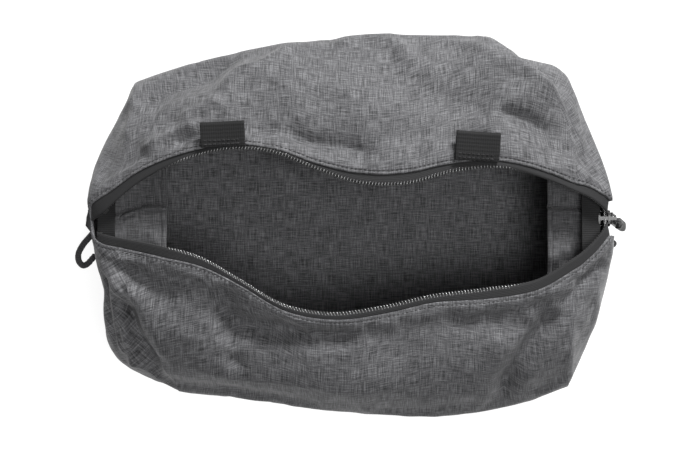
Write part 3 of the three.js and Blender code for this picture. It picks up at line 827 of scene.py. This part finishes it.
def wall_panel(name):
    """A panel of the settled shell, finer, with its hem folded under along the zip."""
    names = list(WALLS)
    start = panel_starts[name]
    after = names.index(name) + 1
    end = panel_starts[names[after]] if after < 4 else len(shell)
    ring = [i % len(shell) for i in range(start, end + 1)]
    columns = np.linspace(0, len(ring) - 1, FINER * (len(ring) - 1) + 1)
    wide, flat, shared = (cubic_at(grid, columns) for grid in
                          (shell[ring], cloth_uv(name, plain_shell[ring]), crease_ways[ring]))

    height = lengths_along(wide.transpose(1, 0, 2)).T
    rest = np.linspace(10.8, WALL_HEIGHT, round((WALL_HEIGHT - 10.8) / FINE) + 1)
    downs = np.concatenate([HEM_SPACING, rest]) / WALL_HEIGHT
    skin, skin_uv, shared_normals = [], [], []
    for i in range(len(wide)):
        at = np.interp(downs * height[i, -1], height[i], np.arange(SHELL_ROWS))
        skin.append(cubic_at(wide[i], at))
        skin_uv.append(cubic_at(flat[i], at))
        shared_normals.append(cubic_at(shared[i], at))
    skin, skin_uv, shared_normals = np.array(skin), np.array(skin_uv), unit(np.array(shared_normals))
    down = downs[None, :] * height[:, -1:]
    inner = np.clip((down - 4) / 8, 0, 1) * np.clip((height[:, -1:] - down) / 12, 0, 1)
    creases = pressed_creases(skin, short_creases) * inner * outline_hold(shared_normals)[..., 0]
    skin = skin + shared_normals * limit_slopes(creases, skin)[..., None]
    skin = np.concatenate([skin[:, :5], ease_tight_folds(skin, False, 0.75)[:, 5:]], axis=1)
    face = unit(np.cross(np.gradient(skin, axis=1), np.gradient(skin, axis=0)))

    seam = np.minimum(lengths_along(skin[:, 20]), lengths_along(skin[::-1, 20])[::-1])[:, None]
    relief = 0.14 * np.exp(-((down - 1.2) / 0.7) ** 2) - 0.42 * np.exp(-((down - 2.4) / 0.45) ** 2)
    relief = relief + 0.12 * (1 / (1 + np.exp((down - 8.5) / 0.8)))
    pucker = np.sin(skin_uv[..., 0] * 2 * math.pi / 7.5 + 2 * ripples(skin, 60)) * np.exp(-down / 6)
    seam_pucker = np.sin(down * 2 * math.pi / 9 + 1.5 * ripples(skin, 50)) * np.exp(-seam / 4)
    relief = relief + 0.1 * (pucker * (down > 3) + seam_pucker + np.exp(-(((seam - 2.4) / 1.3) ** 2)))
    relief = relief + 0.12 * ripples(skin, 16) * np.clip(down / 12, 0, 1)
    relief = relief * np.clip(seam / 1.4, 0, 1)
    skin = skin + face * relief[..., None]

    hem, into, up = skin[:, 0], unit(skin[:, 3] - skin[:, 0]), face[:, 0]
    under, under_uv = [], []
    radius = 0.95
    for row, below in ((7, 2.0), (6, 2.0), (4, 1.95), (1, 1.9)):
        under.append(skin[:, row] - face[:, row] * below)
        under_uv.append(skin_uv[:, 0] - [0, HEM_SPACING[row]])
    for angle in (-55, -20, 20, 55):
        a = math.radians(angle)
        under.append(hem - into * radius * math.cos(a) - up * radius * (1 - math.sin(a)))
        under_uv.append(skin_uv[:, 0] - [0, 0.5])
    sheet = np.concatenate([np.stack(under, axis=1), skin], axis=1)
    sheet_uv = np.concatenate([np.stack(under_uv, axis=1), skin_uv], axis=1)
    made = sheet_from(name + "_cloth", sheet, [CLOTH_OUT, CLOTH_IN], sheet_uv)
    if "end" in name:
        flatten_weave(made, sheet_uv.reshape(-1, 2) * MM)
    return made, skin, face


def flatten_weave(made, guess):
    """Lays the strongly curved panel out flat without shear, then turns and scales it to the guess."""
    bpy.context.view_layer.objects.active = made
    bpy.ops.object.mode_set(mode="EDIT")
    bpy.ops.mesh.select_all(action="SELECT")
    bpy.ops.uv.unwrap(method="CONFORMAL", margin=0)
    bpy.ops.object.mode_set(mode="OBJECT")
    layer = made.data.uv_layers["weave"]
    corners = np.zeros(len(made.data.loops), np.int32)
    made.data.loops.foreach_get("vertex_index", corners)
    flat = np.zeros(len(corners) * 2)
    layer.data.foreach_get("uv", flat)
    flat = flat[0::2] + 1j * flat[1::2]
    target = guess[corners, 0] + 1j * guess[corners, 1]
    fits = []
    for candidate in (flat, np.conj(flat)):
        basis = np.stack([candidate, np.ones_like(candidate)], axis=1)
        terms, *_ = np.linalg.lstsq(basis, target, rcond=None)
        fits.append((np.abs(basis @ terms - target).mean(), basis @ terms / abs(terms[0])))
    placed = min(fits, key=lambda fit: fit[0])[1]
    flat_areas = np.abs(polygon_areas(placed))
    true_areas = np.array([p.area for p in made.data.polygons])
    placed = placed * math.sqrt(true_areas.sum() / flat_areas.sum())
    layer.data.foreach_set("uv", np.stack([placed.real, placed.imag], axis=1).astype(np.float32).ravel())


def polygon_areas(flat):
    """Signed areas of a mesh's four-sided faces in its flat layout."""
    quads = flat.reshape(-1, 4)
    one, other = quads[:, 2] - quads[:, 0], quads[:, 3] - quads[:, 1]
    return 0.5 * (one.real * other.imag - one.imag * other.real)


def cut_zip_slot(made):
    """Opens the right end panel where the closed zip runs down it."""
    work = bmesh.new()
    work.from_mesh(made.data)
    near = [f for f in work.faces if f.calc_center_median().x > 0.150]
    for place, way in (((0, SLOT_Y[0] * MM, 0), (0, 1, 0)), ((0, SLOT_Y[1] * MM, 0), (0, 1, 0)),
                       ((0, 0, SLOT_LOW_Z * MM), (0, 0, 1))):
        parts = set(near) | {e for f in near for e in f.edges} | {v for f in near for v in f.verts}
        bmesh.ops.bisect_plane(work, geom=list(parts), plane_co=place, plane_no=way, dist=1e-6)
        near = [f for f in work.faces if f.calc_center_median().x > 0.150]
    gone = []
    for f in near:
        c = f.calc_center_median() / MM
        if SLOT_Y[0] < c.y < SLOT_Y[1] and c.z > SLOT_LOW_Z:
            gone.append(f)
    bmesh.ops.delete(work, geom=gone, context="FACES")
    work.to_mesh(made.data)
    work.free()


skins = {}
for wall in WALLS:
    panel, skin_points, skin_normals = wall_panel(wall)
    skins[wall] = (skin_points, skin_normals)
    if wall == "right_end_panel":
        cut_zip_slot(panel)
    thicken(panel, CLOTH, -1.0, material_offset=1)
    panel.data.set_sharp_from_angle(angle=math.radians(50))
    belongs(panel, "bag", "heather_cloth", wall)


# ---- Sewing ----------------------------------------------------------------------------------------


def stitches(name, path, normals, material, long=2.2, gap=0.7, radius=0.27, keep=None):
    """A row of single stitches lying along a path, each dipping into the cloth at its ends."""
    along = lengths_along(path)
    count = int(along[-1] / (long + gap))
    sections, faces = [], []
    around = 6
    for k in range(count):
        centre = (k + 0.5) * (long + gap)
        at = centre + np.linspace(-0.5, 0.5, 5) * long
        point, up = (read_along(line, along, at) for line in (path, normals))
        if keep and not keep(point[2]):
            continue
        tangent, side, up = frames_along(point, unit(up))
        rise = np.array([-0.35, 0.1, 0.22, 0.1, -0.35])[:, None]
        width = np.array([0.5, 0.95, 1.0, 0.95, 0.5])[:, None] * radius
        base = len(sections) * around
        for ring in range(5):
            turn = turns(around)[:, None]
            circle = side[ring] * np.cos(turn) + up[ring] * np.sin(turn)
            sections.append(point[ring] + up[ring] * rise[ring] + circle * width[ring])
        for f in grid_faces(5, around, wrap_rows=True):
            faces.append(tuple(base + i for i in f))
        faces.append(tuple(base + i for i in range(around)))
        faces.append(tuple(base + 4 * around + i for i in reversed(range(around))))
    points = np.concatenate(sections)
    uv = np.stack([points[:, 0], points[:, 1]], axis=1)
    return outward(object_from(name, points, faces, [material], uv))


def beside_slot(point):
    """Whether a stitch has cloth under it, as there is none across the zip's slot."""
    return point[0] < 150 or not SLOT_Y[0] - 1 < point[1] < SLOT_Y[1] + 1


for wall in WALLS:
    path, ups = (grid[:, STITCH_ROW] for grid in skins[wall])
    row = stitches(wall.replace("_panel", "_topstitch"), path, ups, THREAD, keep=beside_slot)
    belongs(row, "bag", "heather_cloth")

# ---- Zip -------------------------------------------------------------------------------------------


def zip_run(side):
    """The coil edge of one tape from the left end, along its lip and down the right end, with the
    direction across the tape, how much of it shows, and the direction of its outer face."""
    if side == "front":
        pieces = [("left_end_panel", 0.6, 1), ("front_panel", 0, 1), ("right_end_panel", 0, 0.25)]
    else:
        pieces = [("left_end_panel", 0.42, 0), ("rear_panel", 1, 0), ("right_end_panel", 1, 0.5)]
    rows = []
    for wall, first, last in pieces:
        lines = wall_lines(wall, np.linspace(first, last, 60))
        rows.append(np.hstack([lines["lip"], lines["out"], lines["reach"]]))
    out_y = -1 if side == "front" else 1
    for z in (86, 81, 76, 66, 56, TAPE_LOW_Z):
        rows.append(np.array([[ZIP_X, ZIP_Y + out_y * POST_HALF, z, 0, out_y, 0, TAPE_WIDE]]))
    run = np.concatenate(rows)
    keep = np.concatenate([[True], np.linalg.norm(np.diff(run[:, :3], axis=0), axis=1) > 0.05])
    run = run[keep]
    along = lengths_along(run[:, :3])
    run = read_along(run, along, np.linspace(0, along[-1], int(along[-1] / 1.5)))
    for _ in range(4):
        run[1:-1] = (run[:-2] + 2 * run[1:-1] + run[2:]) / 4
    edge, out, reach = run[:, :3], unit(run[:, 3:6]), run[:, 6]
    tangent = unit(np.gradient(edge, axis=0))
    face = unit(np.cross(tangent, out))
    face *= np.where((face @ [0.3, 0, 1] > 0), 1, -1)[:, None]
    return edge, out, reach, face


def zip_tape(side):
    """A woven tape, rounded over its coil edge and tucked under the cloth's hem."""
    edge, out, reach, face = zip_run(side)
    along = lengths_along(edge)
    crown = [(0.5, -1.2), (0.0, -0.75), (0.0, -0.3), (0.5, 0.05), (1.6, 0.2), (2.6, 0.1)]
    # Each line of the tape: how far it lies across it, how high, and how far across in the weave.
    lines = [(np.minimum(across, 0.7 * reach), rise, np.full_like(reach, across)) for across, rise in crown]
    tuck = reach + np.minimum(3.6, 0.3 * reach)
    lines += [
        (0.75 * reach, 0.0, 0.75 * reach),
        (reach, -0.15, reach),
        (tuck, -0.7, reach + 4),
        (tuck, -1.2, reach + 5),
        (reach, -0.9, reach),
        (np.minimum(2.0, 0.6 * reach), -0.9, np.full_like(reach, 2.0)),
    ]
    rings = [edge + out * across[:, None] + face * rise for across, rise, _ in lines]
    uv = [np.stack([along, woven], axis=1) for _, _, woven in lines]
    made = tube_of_sections(f"{side}_tape", np.stack(rings, axis=1), [TAPE], np.stack(uv, axis=1))
    belongs(made, "bag", "zip_tape", f"{side}_zip_tape")


def coil_shape(centre, out, face):
    """A nylon coil: one wire wound flat, each turn a tooth whose head looks away from the tape."""
    along = lengths_along(centre)
    per_turn = 12
    at = np.linspace(0, along[-1], int(along[-1] / TEETH_PITCH * per_turn))
    point, aside, up = (read_along(line, along, at) for line in (centre, out, face))
    aside, up = unit(aside), unit(up)
    turn = 2 * math.pi * at / TEETH_PITCH
    wire_path = point - aside * (1.35 * np.cos(turn))[:, None] + up * (0.75 * np.sin(turn))[:, None]
    tangent = unit(np.gradient(wire_path, axis=0))
    normal = unit(np.cross(tangent, np.cross(up, tangent)))
    binormal = np.cross(tangent, normal)
    swell = 0.40 + 0.16 * np.maximum(0, np.cos(turn)) ** 3
    return wire_path[:, None] + circles(normal, binormal, turns(6)) * swell[:, None, None]


def zip_coil(side):
    edge, out, _, face = zip_run(side)
    hidden = np.clip((np.abs(edge[:, 0] + 5) - 95) / 30, 0, 1)
    descending = (edge[:, 2] < 87) & (edge[:, 0] > 100)
    inset = np.where(descending, 0.4, 0.55 + 1.2 * hidden)
    sink = np.where(descending, 1.3, 0.75 + 0.6 * hidden)
    centre = edge + out * inset[:, None] - face * sink[:, None]
    kept = edge[:, 2] > 51
    kept[:4] = False
    made = tube_of_sections(f"{side}_coil", coil_shape(centre[kept], out[kept], face[kept]), [COIL])
    belongs(made, "bag", "zip_coil", f"{side}_zip_coil")


for side in ("front", "rear"):
    zip_tape(side)
    zip_coil(side)


def closed_teeth():
    """Interlocked tooth heads below the slider, which fold into it as it travels down."""
    low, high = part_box("closed_zip_teeth")
    z0, z1 = low.z / MM, high.z / MM
    heads, faces = [], []
    pitch = TEETH_PITCH / 2
    for k in range(int((z1 - z0) / pitch)):
        side = 1 if k % 2 else -1
        z = z0 + (k + 0.5) * pitch
        path = [(1.25, -0.5), (0.6, 0.35), (-0.35, 0.55), (-0.9, 0.0), (-0.35, -0.55), (0.6, -0.35)]
        for lift, grow in ((-0.44, 0.75), (-0.2, 1.0), (0.2, 1.0), (0.44, 0.75)):
            for y, x in path:
                heads.append((COIL_X + 0.9 * x * grow + 0.2, ZIP_Y + side * (y * grow + 0.25), z + lift))
        base = k * 24
        faces += [tuple(base + i for i in f) for f in grid_faces(4, 6, wrap_rows=True)]
        faces.append(tuple(base + i for i in range(6)))
        faces.append(tuple(base + 18 + i for i in reversed(range(6))))
    made = outward(object_from("closed_teeth", heads, faces, [COIL]))
    belongs(made, "bag", "zip_coil", "closed_zip_teeth")
    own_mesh(made)


closed_teeth()


def refinish(node_name, material, bevel):
    """Keeps a CAD piece, with its edges rounded over and a real finish."""
    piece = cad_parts[node_name]
    piece.data.materials.clear()
    piece.data.materials.append(material)
    modifier = piece.modifiers.new("rounded", "BEVEL")
    modifier.width = bevel * MM
    modifier.segments = 2
    modifier.limit_method = "ANGLE"
    modifier.angle_limit = math.radians(35)


for node_name, material, bevel in (
    ("zip_slider", METAL, 0.35),
    ("pull_link", METAL, 0.1),
    ("zip_bottom_stop", STOP_METAL, 0.4),
    ("front_top_stop", STOP_METAL, 0.3),
    ("rear_top_stop", STOP_METAL, 0.3),
):
    refinish(node_name, material, bevel)

# ---- Cords -----------------------------------------------------------------------------------------

# The sewn loops' routes, as in the CAD, in metres.
LEFT_LOOP = [(-0.1704, -0.0086, 0.0760), (-0.1736, -0.0123, 0.0756), (-0.1770, -0.0186, 0.0744),
             (-0.1768, -0.0236, 0.0730), (-0.1742, -0.0262, 0.0720), (-0.1714, -0.0250, 0.0714),
             (-0.1696, -0.0230, 0.0710)]
RIGHT_LOOP = [(0.1739, -0.0114, 0.0464), (0.1760, -0.0116, 0.0456), (0.1770, -0.0122, 0.0424),
              (0.1768, -0.0130, 0.0380), (0.1758, -0.0136, 0.0354), (0.1736, -0.0139, 0.0346)]


def braided(name, path, radius, material, strands=8, pitch=5.0):
    """A braided cord: strands crossing over each other round a core."""
    length = lengths_along(path)[-1]
    path = evenly(path, int(length / 0.35))
    along = lengths_along(path)
    tangent = unit(np.gradient(path, axis=0))
    side = unit(np.cross(tangent, [0.3, 0.9, 0.31]))
    up = np.cross(side, tangent)
    turn = turns(24)
    wound = 2 * math.pi * along / pitch
    left = np.abs(np.cos(strands / 4 * turn[None] + wound[:, None]))
    right = np.abs(np.cos(strands / 4 * turn[None] - wound[:, None]))
    thick = radius * (0.90 + 0.13 * np.maximum(left, right) ** 2)
    taper = np.clip(np.minimum(along, length - along) / (0.4 * radius), 0, 1) ** 0.5
    thick = thick * (0.55 + 0.45 * taper)[:, None]
    uv = np.stack(np.broadcast_arrays(turn[None] * radius, along[:, None]), axis=-1)
    return tube_of_sections(name, path[:, None] + circles(side, up, turn) * thick[..., None], [material], uv)


def sewn_loop(name, route, node_name, body):
    path = curve_through(np.array(route) / MM, np.linspace(0, 1, 200))
    start = path[0] - unit(path[4] - path[0]) * 5.0
    end = path[-1] + unit(path[-1] - path[-5]) * 5.0
    loop = braided(name, np.vstack([start, path, end]), 2.0, CORD)
    belongs(loop, body, "black_cord", node_name)


sewn_loop("left_loop_cord", LEFT_LOOP, "left_end_loop", "left_loop")
sewn_loop("right_loop_cord", RIGHT_LOOP, "right_end_loop", "right_loop")


def pull_parts():
    """The slider's pull: a doubled cord through the link, its ends gripped by a moulded sleeve."""
    eye = np.array([169.6, ZIP_Y, SLIDER_Z])
    lean, skew = 22, 9

    def placed(points):
        """From the pull's own frame, hanging straight down, to where it rests."""
        return turned(turned(points, 0, -skew), 1, -lean) + eye

    bend, link_long, sleeve_top, sleeve_long = 2.75, 9.6, -18, 16
    low = bend * 0.72
    half = [(1.9, sleeve_top - 3), (1.9, sleeve_top), (bend, -link_long - 1), (low, low - link_long)]
    back = [(x, 0, z) for x, z in reversed(half)]
    route = [(-x, 0, z) for x, z in half] + [(0, 0, bend - link_long)] + back
    path = placed(curve_through(route, np.linspace(0, 1, 160)))
    cord = braided("pull_loop_cord", path, 1.5, CORD, pitch=4)
    belongs(cord, "pull", "black_cord", "pull_cord")

    deep, wide, corner = 3.7, 2.6, 1.5
    down = np.linspace(0, 1, 44)
    z = sleeve_top - down * sleeve_long
    from_end = np.minimum(down, 1 - down) * sleeve_long
    rounded = np.sqrt(np.clip(1 - (1 - np.minimum(from_end / corner, 1)) ** 2, 0.02, 1))
    grooved = (down > 0.3) & (down < 0.8)
    grooves = 0.22 * np.maximum(0, np.cos(2 * math.pi * down * sleeve_long / 2.4)) * grooved
    turn = turns(32)
    squared = 1 / (np.abs(np.cos(turn)) ** 3 + np.abs(np.sin(turn)) ** 3) ** (1 / 3)
    size = (1 - 0.1 * down) * rounded
    x = (np.cos(turn) * squared * wide)[None] * size[:, None] * (1 - grooves[:, None] / wide)
    y = (np.sin(turn) * squared * deep)[None] * size[:, None] * (1 - grooves[:, None] / deep)
    rings = np.stack([x, y, np.broadcast_to(z[:, None], x.shape)], axis=-1)
    sleeve = tube_of_sections("pull_grip", placed(rings), [RUBBER])
    belongs(sleeve, "pull", "pull_rubber", "pull_sleeve")


pull_parts()

# ---- Webbing tabs ----------------------------------------------------------------------------------


def webbing_tab(name, node_name, body, place, tilt, turn, long):
    """Webbing doubled back on itself, its two ends sewn down beside the zip."""
    thick, gap, half_wide = 1.3, 1.1, 14.0
    tall = 2 * thick + gap
    bend = tall / 2 - thick / 2
    straight = long - tall / 2
    flat = np.linspace(0, 1, 16)[:, None]
    lower = np.hstack([flat * straight, np.full_like(flat, thick / 2)])
    angle = np.linspace(-math.pi / 2, math.pi / 2, 10)[1:-1, None]
    nose = np.hstack([straight + bend * np.cos(angle), tall / 2 + bend * np.sin(angle)])
    pressed = 0.45 * (1 - np.clip((1 - flat) * 3, 0, 1)) ** 2
    upper = np.hstack([(1 - flat) * straight, tall - thick / 2 - pressed])
    line = evenly(np.vstack([lower, nose, upper]), 90)
    tangent = unit(np.gradient(line, axis=0))
    normal = np.stack([-tangent[:, 1], tangent[:, 0]], axis=1)
    along = lengths_along(line)
    across = np.concatenate([[-1.0], np.linspace(-0.985, 0.985, 41), [1.0]])
    edge = np.clip((1 - np.abs(across)) / 0.03, 0, 1) ** 0.5
    rib = 0.02 * np.sin(2 * math.pi * along / 1.5)
    half_thick = thick / 2 * (0.45 + 0.55 * edge)[None, :] + rib[:, None] * edge[None, :]
    sag = 0.25 * np.cos(across * 2.2) * np.clip(along / 10, 0, 1)[:, None] * (along > long)[:, None]
    rings = []
    for sign in (1, -1):
        offset = sign * half_thick + sag
        y = line[:, :1] + normal[:, :1] * offset
        z = line[:, 1:] + normal[:, 1:] * offset
        x = np.broadcast_to(across * half_wide, y.shape)
        side = np.stack([x, y, z], axis=-1)
        rings.append(side if sign == 1 else side[:, ::-1])
    local = np.concatenate(rings, axis=1)
    uv = np.stack([local[..., 0], np.broadcast_to(along[:, None], local.shape[:2])], axis=-1)

    def placed(points):
        return turned(turned(points, 0, tilt), 2, turn) + place

    tab = tube_of_sections(name, placed(local), [WEBBING], uv)
    belongs(tab, body, "webbing", node_name)
    for index, inset in enumerate((1.6, 4.0)):
        x = np.linspace(-half_wide + 1.5, half_wide - 1.5, 60)
        rise = tall + 0.1
        path = placed(np.stack([x, np.full_like(x, inset), np.full_like(x, rise)], axis=1))
        up = placed([0, 0, 1]) - placed([0, 0, 0])
        row = stitches(f"{name}_stitch_{index + 1}", path, np.broadcast_to(up, path.shape), THREAD)
        belongs(row, body, "webbing")


webbing_tab("left_tab_webbing", "rear_left_tab", "left_tab", (-80, 49.5, 106.9), -1.5, 3, 16)
webbing_tab("right_tab_webbing", "rear_right_tab", "right_tab", (80, 40.5, 107.4), -1.5, -4, 18.5)

# ---- Inside of the bag -----------------------------------------------------------------------------


def wall_reach(x, z, way):
    """How far a sheet at x and z can run towards the front (-1) or rear (1) before it meets a wall."""
    nearest = 999.0
    for wall in WALLS:
        hit = wall_trees[wall].ray_cast(Vector((x * MM, 0, z * MM)), Vector((0, way, 0)))
        if hit[0] is not None:
            nearest = min(nearest, abs(hit[0].y) / MM)
    return nearest


wall_trees = {}
skin_trees = {}
outward_sign = {}
for wall in WALLS:
    mesh = bpy.data.objects[wall + "_cloth"].data
    points, faces = [v.co for v in mesh.vertices], [p.vertices for p in mesh.polygons]
    wall_trees[wall] = BVHTree.FromPolygons(points, faces)
    skin, out = skins[wall]
    points = (skin.reshape(-1, 3) * MM).tolist()
    skin_trees[wall] = BVHTree.FromPolygons(points, grid_faces(*skin.shape[:2]))
    found = skin_trees[wall].find_nearest(Vector(skin[30, 30] * MM))
    outward_sign[wall] = math.copysign(1, found[1] @ Vector(out[30, 30]))


def keep_inside(grid, clear):
    """Moves points that would come through the walls, or too near their outer face, back inside."""
    for point in grid.reshape(-1, 3):
        at = Vector(point * MM)
        found = {wall: skin_trees[wall].find_nearest(at) for wall in WALLS}
        wall = min(WALLS, key=lambda name: found[name][3])
        place = np.array(found[wall][0]) / MM
        normal = np.array(found[wall][1]) * outward_sign[wall]
        point -= normal * max(0, (point - place) @ normal + clear)


def inner_sheet(name, ends, heights, material, thickness, fold=0, clear=2.0, limits=(200, 200), wavy=1):
    """A sheet from wall to wall between two places along x, with puckers and a fold across it. It keeps
    clear of the walls, and goes no further to the front and to the rear than its limits."""
    corner, free = ends
    across = np.linspace(0, 1, 26)
    columns = []
    for share in across:
        x = corner + (free - corner) * share
        z = heights[0] + (heights[1] - heights[0]) * share
        front = -min(wall_reach(x, z, -1) - clear, limits[0])
        rear = min(wall_reach(x, z, 1) - clear, limits[1])
        y = np.linspace(front, rear, 240)
        columns.append(np.stack([np.full_like(y, x), y, np.full_like(y, z)], axis=1))
    grid = np.array(columns)
    puckers = 0.7 * ripples(grid * [1, 1, 0], 26) + 0.3 * ripples(grid * [1, 1, 0], 11)
    line = 8 + 0.2 * np.abs(grid[..., 0] - corner) + 1.2 * np.sin(grid[..., 0] / 4.5)
    off = grid[..., 1] - line
    crease = fold * (0.6 * np.exp(-(((off + 2.6) / 1.8) ** 2)) - np.exp(-((off / 0.9) ** 2)))
    sag = -1.6 * wavy * np.sin(math.pi * across)[:, None]
    grid[..., 2] += wavy * puckers * np.clip(across * 3 - 0.6, 0, 1)[:, None] + crease + sag
    keep_inside(grid, CLOTH + 1.2)
    made = sheet_from(name, grid, [material, material], grid[..., :2])
    thicken(made, thickness, 0.0)
    return made, grid


def pocket(side, corner, free, heights):
    """An end pocket's cloth and the rolled hem along its free edge."""
    sheet, grid = inner_sheet(f"{side}_pocket_cloth", (corner, free), heights, POCKET, 0.8, fold=4.0)
    belongs(sheet, "bag", "pocket_cloth", f"{side}_pocket")
    edge = grid[-1]
    outwards = 1.0 if free > corner else -1.0
    turn = turns(14)
    oval = np.stack([outwards * 1.5 + 1.7 * np.cos(turn), np.zeros(14), 0.95 * np.sin(turn)], axis=1)
    rings = edge[:, None] + oval[None]
    uv = np.stack(np.broadcast_arrays(turn[None] * 1.4, edge[:, None, 1]), axis=-1)
    hem = tube_of_sections(f"{side}_pocket_edge", rings, [POCKET], uv)
    belongs(hem, "bag", "pocket_cloth", f"{side}_pocket_hem")


pocket("left", -153, -122.5, (82, 77))
pocket("right", 156, 131.5, (80.5, 77))

# Near-black sheets across the ends beyond the pockets: their dark colour is painted shade for the shaded
# inside of the bag there.
for side, ends, heights in (("left", (-163, -151.5), (85.5, 85)), ("right", (161.5, 149.5), (85, 86.2))):
    edges = {"limits": (16, 26), "clear": 2.5}
    facing, _ = inner_sheet(f"{side}_facing", ends, heights, PAINTED_SHADE_CLOTH, 0.7, wavy=0.3, **edges)
    belongs(facing, "bag", "binding", f"{side}_end_facing")


def base_cloth():
    """The base panel: a flat sheet sewn to the walls' feet, with faint crumples."""
    outline = shell[:, -1]
    left, right = np.argmin(outline[:, 0]), np.argmax(outline[:, 0])
    front = evenly(np.concatenate([outline[left:], outline[:right + 1]]), 110)
    rear = evenly(outline[right:left + 1][::-1], 110)
    share = np.linspace(0, 1, 60)[None, :, None]
    grid = front[:, None] * (1 - share) + rear[:, None] * share
    edge = np.minimum(share, 1 - share)[..., 0] * 8
    ends = np.minimum(np.arange(110), np.arange(110)[::-1])[:, None] / 6
    grid[..., 2] = 1.3 + 0.5 * np.abs(ripples(grid, 55)) * np.clip(np.minimum(edge, ends), 0, 1)
    made = sheet_from("base_cloth", grid, [CLOTH_IN, CLOTH_OUT], grid[..., :2])
    facing_up = made.data.polygons[3000].normal.z > 0
    thicken(made, 0.9, -1.0 if facing_up else 1.0, material_offset=1, material_offset_rim=1)
    belongs(made, "bag", "heather_cloth", "base_panel")


base_cloth()


def base_binding(wall):
    """The bound seam allowance standing up inside, along a wall's foot."""
    foot = wall_lines(wall, np.linspace(0.02, 0.98, 90))["foot"]
    foot = evenly(foot, int(lengths_along(foot)[-1] / 2.5))
    inward = -unit(foot * [1, 1, 0])
    wave = 0.4 * np.sin(lengths_along(foot) / 6.5) + 0.3 * ripples(foot, 30)
    centre = foot + inward * (5.6 + wave)[:, None]
    turn = turns(12)
    rises = np.stack([0 * turn, 0 * turn, 5.2 + 3.4 * np.sin(turn)], axis=1)
    rings = centre[:, None] + inward[:, None] * 0.8 * np.cos(turn)[:, None] + rises
    uv = np.stack(np.broadcast_arrays(lengths_along(foot)[:, None], turn[None] * 3), axis=-1)
    made = tube_of_sections(wall.replace("_panel", "_seam_binding"), rings, [BINDING], uv)
    belongs(made, "bag", "binding", wall.replace("_panel", "_base_binding"))


for wall in WALLS:
    base_binding(wall)
